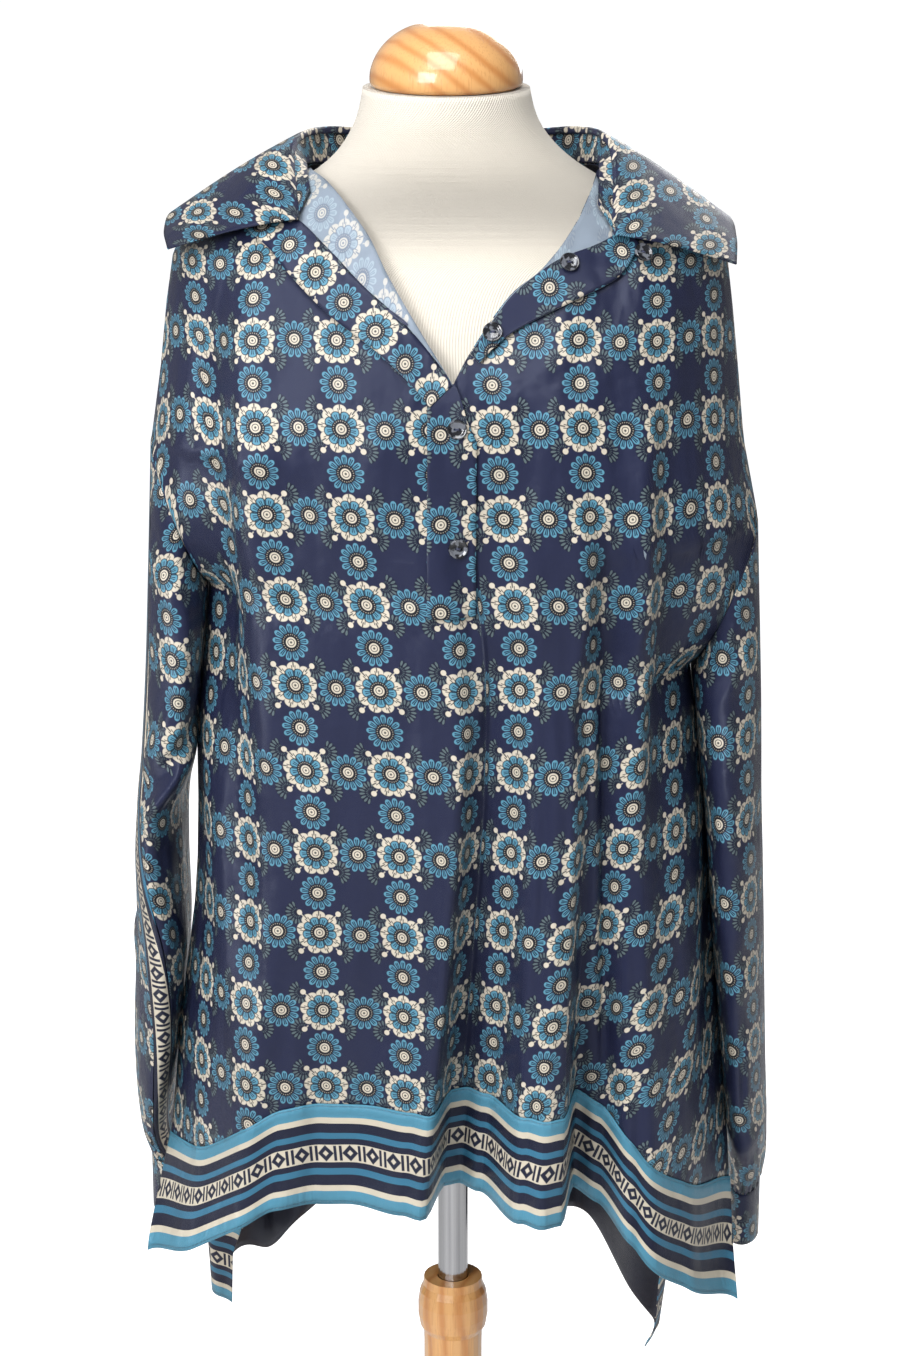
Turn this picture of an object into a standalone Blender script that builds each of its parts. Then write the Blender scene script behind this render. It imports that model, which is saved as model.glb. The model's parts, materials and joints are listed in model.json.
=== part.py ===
"""A long-sleeve satin blouse on a limbless dress form with its stand.

Metres, +Z up, the origin on the floor under the pole. The front faces -Y and "left" is the
left of someone who looks at the front. Each cloth piece is a wall round a surface whose points
are worked out from the tables below: a row for each height, edge point or fold.
"""

import math
from collections import namedtuple

import bmesh
import bpy
import numpy as np
from mathutils import Vector

# ------------------------------------------------------------------ driving sizes
CLOTH = 0.0012  # wall of every cloth panel
TRIM = 0.0010  # wall of what lies on a panel
SEAM = 0.0005  # a piece's edge stands this far from the seam's line
PROUD = 0.0026  # from a panel's middle to the middle of what lies on it
BAND, BAND_CLEAR = 0.077, 0.0010  # striped hem band, seam to hem, and its drop below the seam
CUFF = 0.050
ARMHOLE_DEPTH = 0.050  # half the armhole's opening, front to back
ROUNDNESS, FULLNESS = 2.6, 0.62  # the panels' plan is depth * (1 - t ** ROUNDNESS) ** FULLNESS
SHOULDER_BLEND = 0.14  # how far below the shoulder the columns take their own spacing
POLE_RADIUS = 0.011
POLE_FIT = 0.0006  # round the pole in the post
BUTTON_RADIUS = 0.0065

LEFT, RIGHT = -1, 1

# ------------------------------------------------------------------ tables
Outline = namedtuple("Outline", "height left right")
# Half widths of the worn blouse, armhole to armhole, seen from the front.
UPPER = [
    Outline(1.4650, 0.0760, 0.0760),
    Outline(1.4540, 0.0975, 0.0975),
    Outline(1.4335, 0.1370, 0.1370),
    Outline(1.4130, 0.1765, 0.1755),
    Outline(1.3980, 0.1880, 0.1840),
    Outline(1.3640, 0.1935, 0.1885),
    Outline(1.3200, 0.1985, 0.1935),
    Outline(1.2710, 0.2060, 0.1985),
]
FRONT_SIDES = UPPER + [
    Outline(1.2200, 0.1866, 0.2090),
    Outline(1.1725, 0.1685, 0.1880),
    Outline(1.1150, 0.1720, 0.1650),
    Outline(1.0510, 0.1770, 0.1680),
    Outline(0.9360, 0.1860, 0.1775),
    Outline(0.8500, 0.1940, 0.1865),
    Outline(0.7610, 0.2030, 0.1955),
    Outline(0.6950, 0.2188, 0.2010),
    Outline(0.6400, 0.2240, 0.2050),
]
BACK_SIDES = FRONT_SIDES[:-3] + [
    Outline(0.7610, 0.1985, 0.1935),
    Outline(0.6600, 0.1900, 0.1800),
    Outline(0.5400, 0.1800, 0.1560),
]

Depth = namedtuple("Depth", "height front back")
# How far the cloth stands from the pole's axis, in the middle of the front and of the back.
CLOTH_DEPTH = [
    Depth(1.4650, 0.055, 0.068),
    Depth(1.4540, 0.060, 0.070),
    Depth(1.4440, 0.0645, 0.0745),
    Depth(1.4330, 0.072, 0.080),
    Depth(1.4180, 0.081, 0.088),
    Depth(1.4000, 0.094, 0.096),
    Depth(1.3600, 0.1145, 0.108),
    Depth(1.3270, 0.127, 0.113),
    Depth(1.2200, 0.140, 0.116),
    Depth(1.1000, 0.140, 0.115),
    Depth(0.9500, 0.136, 0.120),
    Depth(0.8000, 0.127, 0.122),
    Depth(0.5400, 0.127, 0.124),
]

EdgePoint = namedtuple("EdgePoint", "share x height")
# The front's upper edge, from the foot of the V to the neck, along the shoulder and down to the
# armhole's top. share runs from 0 at the middle to 1 at the side.
FRONT_EDGE = {
    LEFT: [
        EdgePoint(0.00, 0.0000, 1.3270),
        EdgePoint(0.13, 0.0260, 1.3670),
        EdgePoint(0.21, 0.0420, 1.3930),
        EdgePoint(0.30, 0.0560, 1.4180),
        EdgePoint(0.40, 0.0785, 1.4440),
        EdgePoint(0.46, 0.0965, 1.4545),
    ],
    RIGHT: [
        EdgePoint(0.00, 0.0000, 1.3270),
        EdgePoint(0.08, 0.0110, 1.3456),
        EdgePoint(0.20, 0.0380, 1.3815),
        EdgePoint(0.30, 0.0594, 1.3980),
        EdgePoint(0.38, 0.0787, 1.4215),
        EdgePoint(0.46, 0.0965, 1.4545),
    ],
}
BACK_EDGE = [
    EdgePoint(0.00, 0.0000, 1.4430),
    EdgePoint(0.20, 0.0350, 1.4440),
    EdgePoint(0.34, 0.0680, 1.4480),
    EdgePoint(0.46, 0.0965, 1.4545),
]
ShoulderPoint = namedtuple("ShoulderPoint", "share height")
# The shoulder seam, whose distance from the axis is the outline's. It ends at the armhole.
SHOULDER = {
    LEFT: [
        ShoulderPoint(0.46, 1.4545),
        ShoulderPoint(0.54, 1.4430),
        ShoulderPoint(0.62, 1.4320),
        ShoulderPoint(0.70, 1.4215),
        ShoulderPoint(0.78, 1.4110),
        ShoulderPoint(0.85, 1.3980),
        ShoulderPoint(0.89, 1.3750),
        ShoulderPoint(0.93, 1.3450),
        ShoulderPoint(0.97, 1.3080),
        ShoulderPoint(1.00, 1.2710),
    ],
    RIGHT: [
        ShoulderPoint(0.46, 1.4545),
        ShoulderPoint(0.54, 1.4430),
        ShoulderPoint(0.62, 1.4320),
        ShoulderPoint(0.70, 1.4215),
        ShoulderPoint(0.78, 1.4110),
        ShoulderPoint(0.85, 1.3960),
        ShoulderPoint(0.89, 1.3650),
        ShoulderPoint(0.93, 1.3250),
        ShoulderPoint(0.97, 1.2720),
        ShoulderPoint(1.00, 1.2150),
    ],
}

Armhole = namedtuple("Armhole", "top_x top_height foot_x foot_height")
ARMHOLES = {
    LEFT: Armhole(0.2060, 1.2710, 0.1685, 1.1725),
    RIGHT: Armhole(0.2095, 1.2150, 0.1650, 1.1150),
}

Level = namedtuple("Level", "share lapel slit hem")
# Heights across the front: the lower edge of the turned-back stretch, the line of the side
# slits' tops, and the hem, which droops towards its corners.
FRONT_LEVELS = [
    Level(-1.00, 1.1725, 0.800, 0.695),
    Level(-0.85, 1.2400, 0.825, 0.709),
    Level(-0.72, 1.3050, 0.845, 0.7325),
    Level(-0.60, 1.3550, 0.858, 0.748),
    Level(-0.46, 1.3850, 0.868, 0.752),
    Level(-0.30, 1.3550, 0.872, 0.753),
    Level(-0.15, 1.3250, 0.875, 0.753),
    Level(0.00, 1.2950, 0.875, 0.754),
    Level(0.15, 1.3250, 0.875, 0.754),
    Level(0.30, 1.3650, 0.872, 0.756),
    Level(0.42, 1.3800, 0.868, 0.754),
    Level(0.51, 1.3700, 0.862, 0.746),
    Level(0.60, 1.3300, 0.855, 0.732),
    Level(0.68, 1.2900, 0.845, 0.712),
    Level(0.82, 1.2100, 0.825, 0.683),
    Level(1.00, 1.1150, 0.800, 0.647),
]
BACK_LEVELS = [
    Level(-1.00, 1.1725, 0.800, 0.585),
    Level(-0.80, 1.2600, 0.830, 0.620),
    Level(-0.60, 1.3400, 0.850, 0.655),
    Level(-0.40, 1.3750, 0.860, 0.660),
    Level(0.00, 1.3900, 0.865, 0.666),
    Level(0.40, 1.3750, 0.860, 0.654),
    Level(0.60, 1.3300, 0.850, 0.628),
    Level(0.80, 1.2300, 0.830, 0.588),
    Level(1.00, 1.1150, 0.800, 0.552),
]

Fold = namedtuple("Fold", "share push")
# The folds at the hem: how far each share of the width is pushed back (+) or forward (-).
FRONT_FOLDS = [
    Fold(-1.000, 0.000),
    Fold(-0.850, -0.020),
    Fold(-0.720, -0.027),
    Fold(-0.600, -0.012),
    Fold(-0.460, 0.004),
    Fold(-0.340, 0.008),
    Fold(-0.170, -0.006),
    Fold(-0.105, -0.014),
    Fold(-0.030, 0.042),
    Fold(0.020, 0.046),
    Fold(0.090, 0.032),
    Fold(0.230, -0.025),
    Fold(0.300, -0.038),
    Fold(0.360, -0.034),
    Fold(0.420, 0.030),
    Fold(0.510, 0.014),
    Fold(0.620, -0.026),
    Fold(0.700, -0.036),
    Fold(0.820, -0.028),
    Fold(1.000, 0.000),
]
BACK_FOLDS = [
    Fold(-1.00, 0.000),
    Fold(-0.78, 0.018),
    Fold(-0.56, -0.022),
    Fold(-0.34, 0.026),
    Fold(-0.10, -0.020),
    Fold(0.14, 0.028),
    Fold(0.38, -0.024),
    Fold(0.60, 0.024),
    Fold(0.80, -0.010),
    Fold(1.00, 0.000),
]
Gain = namedtuple("Gain", "height share lean")
# How much of a hem fold is left at each height, and how far the folds lean to the right there.
FOLD_GAIN = [
    Gain(0.540, 1.10, 0.000),
    Gain(0.750, 1.00, 0.000),
    Gain(0.850, 0.78, 0.007),
    Gain(0.950, 0.54, 0.014),
    Gain(1.050, 0.32, 0.020),
    Gain(1.140, 0.14, 0.020),
    Gain(1.240, 0.02, 0.008),
    Gain(1.327, 0.00, 0.000),
    Gain(1.470, 0.00, 0.000),
]
SLIT_FOOT = 0.60  # height where the slit's two edges are furthest apart
FRONT_SLIT_SPREAD, BACK_SLIT_SPREAD = 0.062, 0.070

Ring = namedtuple("Ring", "height outer inner depth centre lean twist")
# The sleeves from just under the armhole to the cuff seam: x of the outer and the inner line,
# half the depth front to back, y of the middle, how far the front leans in over the body, and how
# far the cloth has turned forwards round the arm, in turns.
SLEEVE_RINGS = {
    LEFT: [
        Ring(1.1600, 0.2118, 0.1740, 0.056, 0.000, 0.006, 0.000),
        Ring(1.1050, 0.2150, 0.1785, 0.066, 0.002, 0.009, 0.010),
        Ring(1.0510, 0.2190, 0.1835, 0.074, 0.006, 0.004, 0.040),
        Ring(1.0150, 0.2225, 0.1880, 0.078, 0.010, 0.000, 0.090),
        Ring(0.9700, 0.2255, 0.1885, 0.079, 0.014, 0.000, 0.150),
        Ring(0.9100, 0.2285, 0.1925, 0.078, 0.020, 0.006, 0.210),
        Ring(0.8500, 0.2320, 0.1985, 0.076, 0.026, 0.008, 0.270),
        Ring(0.7950, 0.2330, 0.2050, 0.070, 0.036, 0.004, 0.310),
        Ring(0.7580, 0.2300, 0.2040, 0.060, 0.046, 0.000, 0.330),
        Ring(0.7330, 0.2245, 0.2000, 0.050, 0.050, 0.000, 0.340),
    ],
    RIGHT: [
        Ring(1.1050, 0.2150, 0.1715, 0.056, 0.000, 0.008, -0.070),
        Ring(1.0600, 0.2168, 0.1740, 0.066, 0.002, 0.010, -0.080),
        Ring(1.0150, 0.2185, 0.1775, 0.074, 0.006, 0.010, -0.090),
        Ring(0.9700, 0.2210, 0.1810, 0.078, 0.010, 0.010, -0.100),
        Ring(0.9200, 0.2235, 0.1845, 0.079, 0.014, 0.010, -0.100),
        Ring(0.8650, 0.2262, 0.1895, 0.078, 0.020, 0.010, -0.100),
        Ring(0.8100, 0.2290, 0.1950, 0.076, 0.026, 0.010, -0.100),
        Ring(0.7650, 0.2320, 0.1990, 0.070, 0.034, 0.008, -0.100),
        Ring(0.7330, 0.2330, 0.2025, 0.060, 0.042, 0.006, -0.100),
        Ring(0.7080, 0.2300, 0.2040, 0.050, 0.048, 0.004, -0.100),
    ],
}
SLEEVE_SIDES = 16  # points round a sleeve, two of which face each other at seam and strip
SLEEVE_CLEAR, UNDERARM_CLEAR = 0.0013, 0.0018  # from the armhole's line out to the sleeve
STRIP_CLEAR = 0.0011  # between a sleeve's cloth and its strip
STRIP_SIDES = 1  # the strip reaches this many points either side of the outer line
LENGTHS_APART = 0.0006  # between two lengths of a sleeve or strip
Length = namedtuple("Length", "name first last")
# Each sleeve and strip is built in short lengths, from one row of its points to another.
SLEEVE_LENGTHS = [Length("upper", 0, 6), Length("lower", 6, 11)]
STRIP_LENGTHS = [Length("upper", 0, 4), Length("middle", 4, 7), Length("lower", 7, 11)]

CollarLine = namedtuple("CollarLine", "share seam_x seam_y seam_z fold_x fold_y fold_z out_x out_y out_z")
# The collar from its left end round the back: the neck seam, the fold and the outer edge.
COLLAR = [
    CollarLine(0.00, -0.0930, -0.0510, 1.4425, -0.1020, -0.0715, 1.4255, -0.1880, -0.0420, 1.4036),
    CollarLine(0.08, -0.0965, -0.0200, 1.4556, -0.1075, -0.0240, 1.4620, -0.1925, -0.0150, 1.4130),
    CollarLine(0.17, -0.0965, 0.0010, 1.4562, -0.1010, 0.0030, 1.4750, -0.1880, 0.0140, 1.4230),
    CollarLine(0.26, -0.0830, 0.0415, 1.4527, -0.0860, 0.0420, 1.4760, -0.1640, 0.0560, 1.4170),
    CollarLine(0.38, -0.0480, 0.0685, 1.4466, -0.0500, 0.0720, 1.4720, -0.0930, 0.0990, 1.4000),
    CollarLine(0.50, 0.0000, 0.0748, 1.4440, 0.0000, 0.0840, 1.4700, 0.0000, 0.1130, 1.3930),
    CollarLine(0.62, 0.0480, 0.0685, 1.4466, 0.0500, 0.0720, 1.4720, 0.0930, 0.0990, 1.4000),
    CollarLine(0.74, 0.0830, 0.0415, 1.4527, 0.0860, 0.0420, 1.4760, 0.1640, 0.0560, 1.4150),
    CollarLine(0.83, 0.0965, 0.0010, 1.4562, 0.1000, 0.0030, 1.4750, 0.1850, 0.0140, 1.4200),
    CollarLine(0.92, 0.0965, -0.0215, 1.4560, 0.1075, -0.0240, 1.4600, 0.1890, -0.0150, 1.4080),
    CollarLine(1.00, 0.0940, -0.0620, 1.4356, 0.1060, -0.0785, 1.4160, 0.1866, -0.0450, 1.3940),
]

FALL_ARCH, FALL_BULGE = 0.003, 0.005  # the fall's arch upwards, and forwards at its ends

LapelLine = namedtuple("LapelLine", "place roll_x roll_z free_x free_z")
# Each turned-back edge from the collar down to the foot of the V: its roll and its free edge.
LAPELS = {
    LEFT: [
        LapelLine(0, 0.0930, 1.4525, 0.1370, 1.4180),
        LapelLine(1, 0.0784, 1.4440, 0.1185, 1.4060),
        LapelLine(2, 0.0560, 1.4180, 0.1023, 1.3890),
        LapelLine(3, 0.0420, 1.3930, 0.0790, 1.3680),
        LapelLine(4, 0.0260, 1.3670, 0.0480, 1.3460),
        LapelLine(5, 0.0060, 1.3362, 0.0240, 1.3240),
    ],
    RIGHT: [
        LapelLine(0, 0.0930, 1.4480, 0.1200, 1.4080),
        LapelLine(1, 0.0787, 1.4215, 0.1060, 1.3900),
        LapelLine(2, 0.0594, 1.3980, 0.0811, 1.3780),
        LapelLine(3, 0.0380, 1.3815, 0.0577, 1.3680),
        LapelLine(4, 0.0240, 1.3640, 0.0345, 1.3560),
        LapelLine(5, 0.0110, 1.3456, 0.0165, 1.3400),
    ],
}

PLACKET_LEFT, PLACKET_RIGHT = -0.0150, 0.0155
PLACKET_TOP, PLACKET_FOOT = 1.3190, 1.1780

FormRing = namedtuple("FormRing", "height half_width front back squareness tilt centre")
# The form from its foot to the top of its neck. squareness is 1 on the body and 0 on the neck,
# tilt is how much a ring's height falls for each metre towards the front, centre is its middle's x.
FORM_RINGS = [
    FormRing(0.850, 0.1500, 0.072, 0.098, 1.0, 0.0, 0.0),
    FormRing(0.930, 0.1560, 0.075, 0.104, 1.0, 0.0, 0.0),
    FormRing(1.000, 0.1420, 0.077, 0.092, 1.0, 0.0, 0.0),
    FormRing(1.070, 0.1250, 0.081, 0.078, 1.0, 0.0, 0.0),
    FormRing(1.140, 0.1350, 0.104, 0.088, 1.0, 0.0, 0.0),
    FormRing(1.205, 0.1480, 0.122, 0.100, 1.0, 0.0, 0.0),
    FormRing(1.270, 0.1560, 0.121, 0.104, 1.0, 0.0, 0.0),
    FormRing(1.327, 0.1620, 0.114, 0.104, 1.0, 0.0, 0.0),
    FormRing(1.365, 0.1680, 0.1015, 0.099, 1.0, 0.0, 0.0),
    FormRing(1.395, 0.1730, 0.0855, 0.087, 1.0, 0.0, 0.0),
    FormRing(1.4115, 0.1700, 0.0755, 0.079, 1.0, 0.0, 0.0),
    FormRing(1.4260, 0.1450, 0.066, 0.073, 0.9, 0.0, 0.0),
    FormRing(1.4400, 0.1130, 0.0512, 0.065, 0.7, 0.0, 0.0),
    FormRing(1.4530, 0.0862, 0.0474, 0.0605, 0.4, 0.0, 0.0),
    FormRing(1.4620, 0.0765, 0.0510, 0.060, 0.1, 0.0, -0.0015),
    FormRing(1.4730, 0.0670, 0.0550, 0.060, 0.0, 0.02, -0.0035),
    FormRing(1.4880, 0.0590, 0.0560, 0.056, 0.0, 0.04, -0.0042),
    FormRing(1.5060, 0.0560, 0.0560, 0.055, 0.0, 0.07, -0.0045),
]
FORM_SIDES = 28

TurnedPoint = namedtuple("TurnedPoint", "radius height")
# Profiles of the turned pieces, from the top at the axis or bore down the outer side.
CAP_PROFILE = [
    TurnedPoint(0.0000, 0.0420),
    TurnedPoint(0.0120, 0.0413),
    TurnedPoint(0.0240, 0.0386),
    TurnedPoint(0.0350, 0.0328),
    TurnedPoint(0.0440, 0.0240),
    TurnedPoint(0.0490, 0.0150),
    TurnedPoint(0.0508, 0.0075),
    TurnedPoint(0.0502, 0.0015),
    TurnedPoint(0.0485, 0.0000),
    TurnedPoint(0.0000, 0.0000),
]
CAP_X, CAP_FOOT, CAP_TILT = -0.0045, 1.5066, 0.07
POST_TOP, POST_FOOT, BORE_FOOT = 0.642, 0.0463, 0.190
POST_RADIUS = 0.0215
POST_PROFILE = [
    TurnedPoint(0.0215, 0.642),
    TurnedPoint(0.0222, 0.636),
    TurnedPoint(0.0245, 0.631),
    TurnedPoint(0.0258, 0.622),
    TurnedPoint(0.0258, 0.612),
    TurnedPoint(0.0245, 0.604),
    TurnedPoint(0.0218, 0.599),
    TurnedPoint(POST_RADIUS, 0.590),
    TurnedPoint(POST_RADIUS, POST_FOOT),
]
BASE_PROFILE = [
    TurnedPoint(0.0000, 0.0460),
    TurnedPoint(0.0310, 0.0460),
    TurnedPoint(0.0350, 0.0420),
    TurnedPoint(0.0370, 0.0330),
    TurnedPoint(0.0420, 0.0290),
    TurnedPoint(0.1400, 0.0260),
    TurnedPoint(0.1630, 0.0225),
    TurnedPoint(0.1690, 0.0160),
    TurnedPoint(0.1700, 0.0060),
    TurnedPoint(0.1680, 0.0000),
    TurnedPoint(0.0000, 0.0000),
]
POLE_TOP, POLE_FOOT = 0.8496, 0.300
BUTTON_PROFILE = [
    TurnedPoint(0.0000, 0.0016),
    TurnedPoint(0.0042, 0.0016),
    TurnedPoint(0.0052, 0.0026),
    TurnedPoint(0.0062, 0.0024),
    TurnedPoint(BUTTON_RADIUS, 0.0014),
    TurnedPoint(0.0058, 0.0000),
    TurnedPoint(0.0000, 0.0000),
]

ButtonPlace = namedtuple("ButtonPlace", "name x height proud")
# Where each button sits on the front, and how far its back stands out from the front's middle.
FRONT_BUTTONS = [
    ButtonPlace("button_placket_top", 0.0026, 1.2995, 0.0029),
    ButtonPlace("button_placket_foot", 0.0026, 1.2232, 0.0029),
    ButtonPlace("button_lapel_top", 0.0740, 1.3985, 0.0037),
    ButtonPlace("button_lapel_foot", 0.0250, 1.3580, 0.0037),
    ButtonPlace("button_stand", 0.1214, 1.4025, 0.0038),
]

Finish = namedtuple("Finish", "colour roughness metallic")
FINISHES = {
    "print_satin": Finish((0.028, 0.036, 0.115, 1), 0.38, 0),
    "band_satin": Finish((0.10, 0.30, 0.48, 1), 0.36, 0),
    "facing_satin": Finish((0.30, 0.42, 0.52, 1), 0.45, 0),
    "button_resin": Finish((0.10, 0.12, 0.16, 1), 0.2, 0),
    "form_jersey": Finish((0.86, 0.82, 0.74, 1), 0.9, 0),
    "pine": Finish((0.78, 0.50, 0.24, 1), 0.3, 0),
    "steel": Finish((0.62, 0.62, 0.64, 1), 0.22, 1),
}


# ------------------------------------------------------------------ reading the tables
def column(table, name):
    """One named column of a table, as an array."""
    return np.array([getattr(row, name) for row in table])


def smooth(table, key, name, at):
    """Reads a table's column along its key, as a smooth curve through the rows."""
    keys, values = column(table, key), column(table, name)
    if keys[0] > keys[-1]:
        keys, values = keys[::-1], values[::-1]
    slopes = np.gradient(values, keys)
    at = np.clip(at, keys[0], keys[-1])
    i = np.clip(np.searchsorted(keys, at) - 1, 0, len(keys) - 2)
    span = keys[i + 1] - keys[i]
    s = (at - keys[i]) / span
    return (
        values[i] * (1 + 2 * s) * (1 - s) ** 2
        + span * slopes[i] * s * (1 - s) ** 2
        + values[i + 1] * s**2 * (3 - 2 * s)
        + span * slopes[i + 1] * s**2 * (s - 1)
    )


def eased(table, key, name, at):
    """Reads a table whose rows are the crests and troughs of waves."""
    keys, values = column(table, key), column(table, name)
    i = np.clip(np.searchsorted(keys, at) - 1, 0, len(keys) - 2)
    s = np.clip((at - keys[i]) / (keys[i + 1] - keys[i]), 0, 1)
    return values[i] + (values[i + 1] - values[i]) * s**2 * (3 - 2 * s)


def side_name(share):
    return "left" if share < 0 else "right"


def half_width(sides, share, height):
    """The outline's half width on the side where share lies."""
    left = np.interp(-height, -column(sides, "height"), column(sides, "left"))
    right = np.interp(-height, -column(sides, "height"), column(sides, "right"))
    return np.where(np.asarray(share) < 0, left, right)


# ------------------------------------------------------------------ the panels' surfaces
def armhole_point(side, turn):
    """A point of the armhole, turn 0 at its top, a quarter at the front, half at its foot."""
    hole = ARMHOLES[side]
    angle = 2 * math.pi * turn
    rise = (1 + math.cos(angle)) / 2
    x = hole.foot_x + (hole.top_x - hole.foot_x) * rise
    z = hole.foot_height + (hole.top_height - hole.foot_height) * rise
    return np.array([side * x, -ARMHOLE_DEPTH * math.sin(angle), z])


def side_spread(share, height, slit_spread):
    """How far a panel's side edge stands from the side line: in the armhole and in the slit."""
    spread = np.zeros(np.shape(height))
    for side in (LEFT, RIGHT):
        hole = ARMHOLES[side]
        rise = (height - hole.foot_height) / (hole.top_height - hole.foot_height)
        lens = 2 * np.sqrt(np.clip(rise * (1 - rise), 0, None)) * ARMHOLE_DEPTH
        spread = np.where(np.sign(share) == side, lens, spread)
    fall = np.clip((0.80 - height) / (0.80 - SLIT_FOOT), 0, 1.2)
    return spread + slit_spread * fall**1.3


def panel_depth(share, x, height, sides, face):
    """y of a panel at a place seen from the front. face is -1 for the front, 1 for the back."""
    width = half_width(sides, share, height)
    across = np.clip(np.abs(x) / width, 0, 1)
    name, slit = ("front", FRONT_SLIT_SPREAD) if face < 0 else ("back", BACK_SLIT_SPREAD)
    depth = smooth(CLOTH_DEPTH, "height", name, height)
    spread = side_spread(share, height, slit) + SEAM
    fullness = FULLNESS + 0.55 * np.clip(spread / ARMHOLE_DEPTH, 0, 1)
    level = spread + (depth - spread) * (1 - across**ROUNDNESS) ** fullness
    folds = FRONT_FOLDS if face < 0 else BACK_FOLDS
    push = eased(folds, "share", "push", share) * smooth(FOLD_GAIN, "height", "share", height)
    return face * level + push


def top_edge(share, face):
    """x and height of a panel's upper edge at one share of its width, or at many."""
    size = np.abs(share)
    ends = []
    for side in (LEFT, RIGHT):
        edge = FRONT_EDGE[side] if face < 0 else BACK_EDGE
        drop = smooth(SHOULDER[side], "share", "height", size)
        on_shoulder = size >= SHOULDER[side][0].share
        x = np.where(on_shoulder, half_width(FRONT_SIDES, share, drop), smooth(edge, "share", "x", size))
        ends.append((side * x, np.where(on_shoulder, drop, smooth(edge, "share", "height", size))))
    left = np.asarray(share) < 0
    return np.where(left, ends[0][0], ends[1][0]), np.where(left, ends[0][1], ends[1][1])


def panel_x(share, height, sides, face):
    """x of the panel's column of this share, at this height."""
    edge_x, edge_height = top_edge(share, face)
    hang = share * half_width(sides, share, height)
    start = share * half_width(sides, share, edge_height)
    fade = np.clip(1 - (edge_height - height) / SHOULDER_BLEND, 0, 1) ** 2
    lean = smooth(FOLD_GAIN, "height", "lean", height) * (1 - share**2) ** 2
    return hang + (edge_x - start) * fade + lean


def panel_point(share, height, sides, face):
    """The panel's point on the column of this share, at this height."""
    x = panel_x(share, height, sides, face)
    return np.array([x, panel_depth(share, x, height, sides, face), height], dtype=float)


SHOULDER_SHARES = [row.share for row in SHOULDER[LEFT]]
FRONT_SHARES = (
    [-s for s in reversed(SHOULDER_SHARES)]
    + [-0.37, -0.28, -0.20, -0.15, -0.105, -0.070, -0.030, 0.0, 0.045, 0.10, 0.17, 0.235, 0.30, 0.36, 0.40]
    + SHOULDER_SHARES
)
BACK_SHARES = (
    [-s for s in reversed(SHOULDER_SHARES)]
    + [-0.34, -0.22, -0.10, 0.02, 0.14, 0.26, 0.38]
    + SHOULDER_SHARES
)
ARMHOLE_ROWS, SIDE_ROWS, FOOT_ROWS, BAND_ROWS = SLEEVE_SIDES // 2, 8, 2, 2


def panel_rows(shares, levels, sides, face):
    """Rows of points from a panel's upper edge down to its band's seam."""
    rows = []
    for step in range(ARMHOLE_ROWS + SIDE_ROWS + FOOT_ROWS + 1):
        row = []
        for share in shares:
            if abs(share) == 1 and step <= ARMHOLE_ROWS:
                turn = step / SLEEVE_SIDES
                point = armhole_point(int(share), turn if face < 0 else -turn)
                row.append(point + np.array([0, face * SEAM, 0]))
                continue
            edge_height = float(top_edge(share, face)[1])
            lapel = float(smooth(levels, "share", "lapel", share))
            slit = float(smooth(levels, "share", "slit", share))
            foot = float(smooth(levels, "share", "hem", share)) + BAND
            if step <= ARMHOLE_ROWS:
                part = (1 - math.cos(math.pi * step / ARMHOLE_ROWS)) / 2
                height = edge_height + (lapel - edge_height) * part
            elif step <= ARMHOLE_ROWS + SIDE_ROWS:
                height = lapel + (slit - lapel) * (step - ARMHOLE_ROWS) / SIDE_ROWS
            else:
                height = slit + (foot - slit) * (step - ARMHOLE_ROWS - SIDE_ROWS) / FOOT_ROWS
            row.append(panel_point(share, height, sides, face))
        rows.append(row)
    return np.array(rows)


def band_rows(shares, levels, sides, face):
    """Rows of points of a hem band, from just under its seam to the hem."""
    rows = []
    for step in range(BAND_ROWS + 1):
        row = []
        for share in shares:
            hem = float(smooth(levels, "share", "hem", share))
            height = hem + (BAND - BAND_CLEAR) * (1 - step / BAND_ROWS)
            row.append(panel_point(share, height, sides, face))
        rows.append(row)
    return np.array(rows)


def front_at(x, height):
    """The front's point that shows at this x and height."""
    shares = np.linspace(-1, 1, 161)
    places = np.maximum.accumulate(panel_x(shares, height, FRONT_SIDES, -1))
    share = np.interp(x, places, shares)
    return np.array([x, float(panel_depth(share, x, height, FRONT_SIDES, -1)), height])


def on_front(x, height, proud):
    """A place on the front seen from the front, moved out from the cloth, and its outward way."""
    step = 0.003
    across = front_at(x + step, height) - front_at(x - step, height)
    up = front_at(x, height + step) - front_at(x, height - step)
    out = np.cross(across, up)
    out /= np.linalg.norm(out)
    return front_at(x, height) + out * proud, out


# ------------------------------------------------------------------ sleeves, collar, trims
def sleeve_ring(ring, side, turn):
    """A point of a sleeve's section, turn 0 at the outer line and a quarter at the front."""
    angle = 2 * math.pi * (turn + ring.twist)
    middle, reach = (ring.outer + ring.inner) / 2, (ring.outer - ring.inner) / 2
    x = middle + reach * math.cos(angle) - ring.lean * max(math.sin(angle), 0) ** 1.5
    return np.array([side * x, ring.centre - ring.depth * math.sin(angle), ring.height])


def sleeve_rows(side, turns):
    """Rows of points of the sleeve between these turns, from the armhole to the cuff."""
    rings = SLEEVE_RINGS[side]
    first = [sleeve_ring(rings[0], side, turn) for turn in turns]
    rows = []
    for share in (0.0, 0.5):
        row = []
        for turn, below in zip(turns, first):
            start = armhole_point(side, turn + rings[0].twist)
            under = (1 - math.cos(2 * math.pi * (turn + rings[0].twist))) / 2
            start = start + np.array([side * (SLEEVE_CLEAR + UNDERARM_CLEAR * under**4), 0, -SEAM])
            row.append(start + (below - start) * share)
        rows.append(row)
    rows.append(first)
    rows += [[sleeve_ring(ring, side, turn) for turn in turns] for ring in rings[1:]]
    return np.array(rows)


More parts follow.
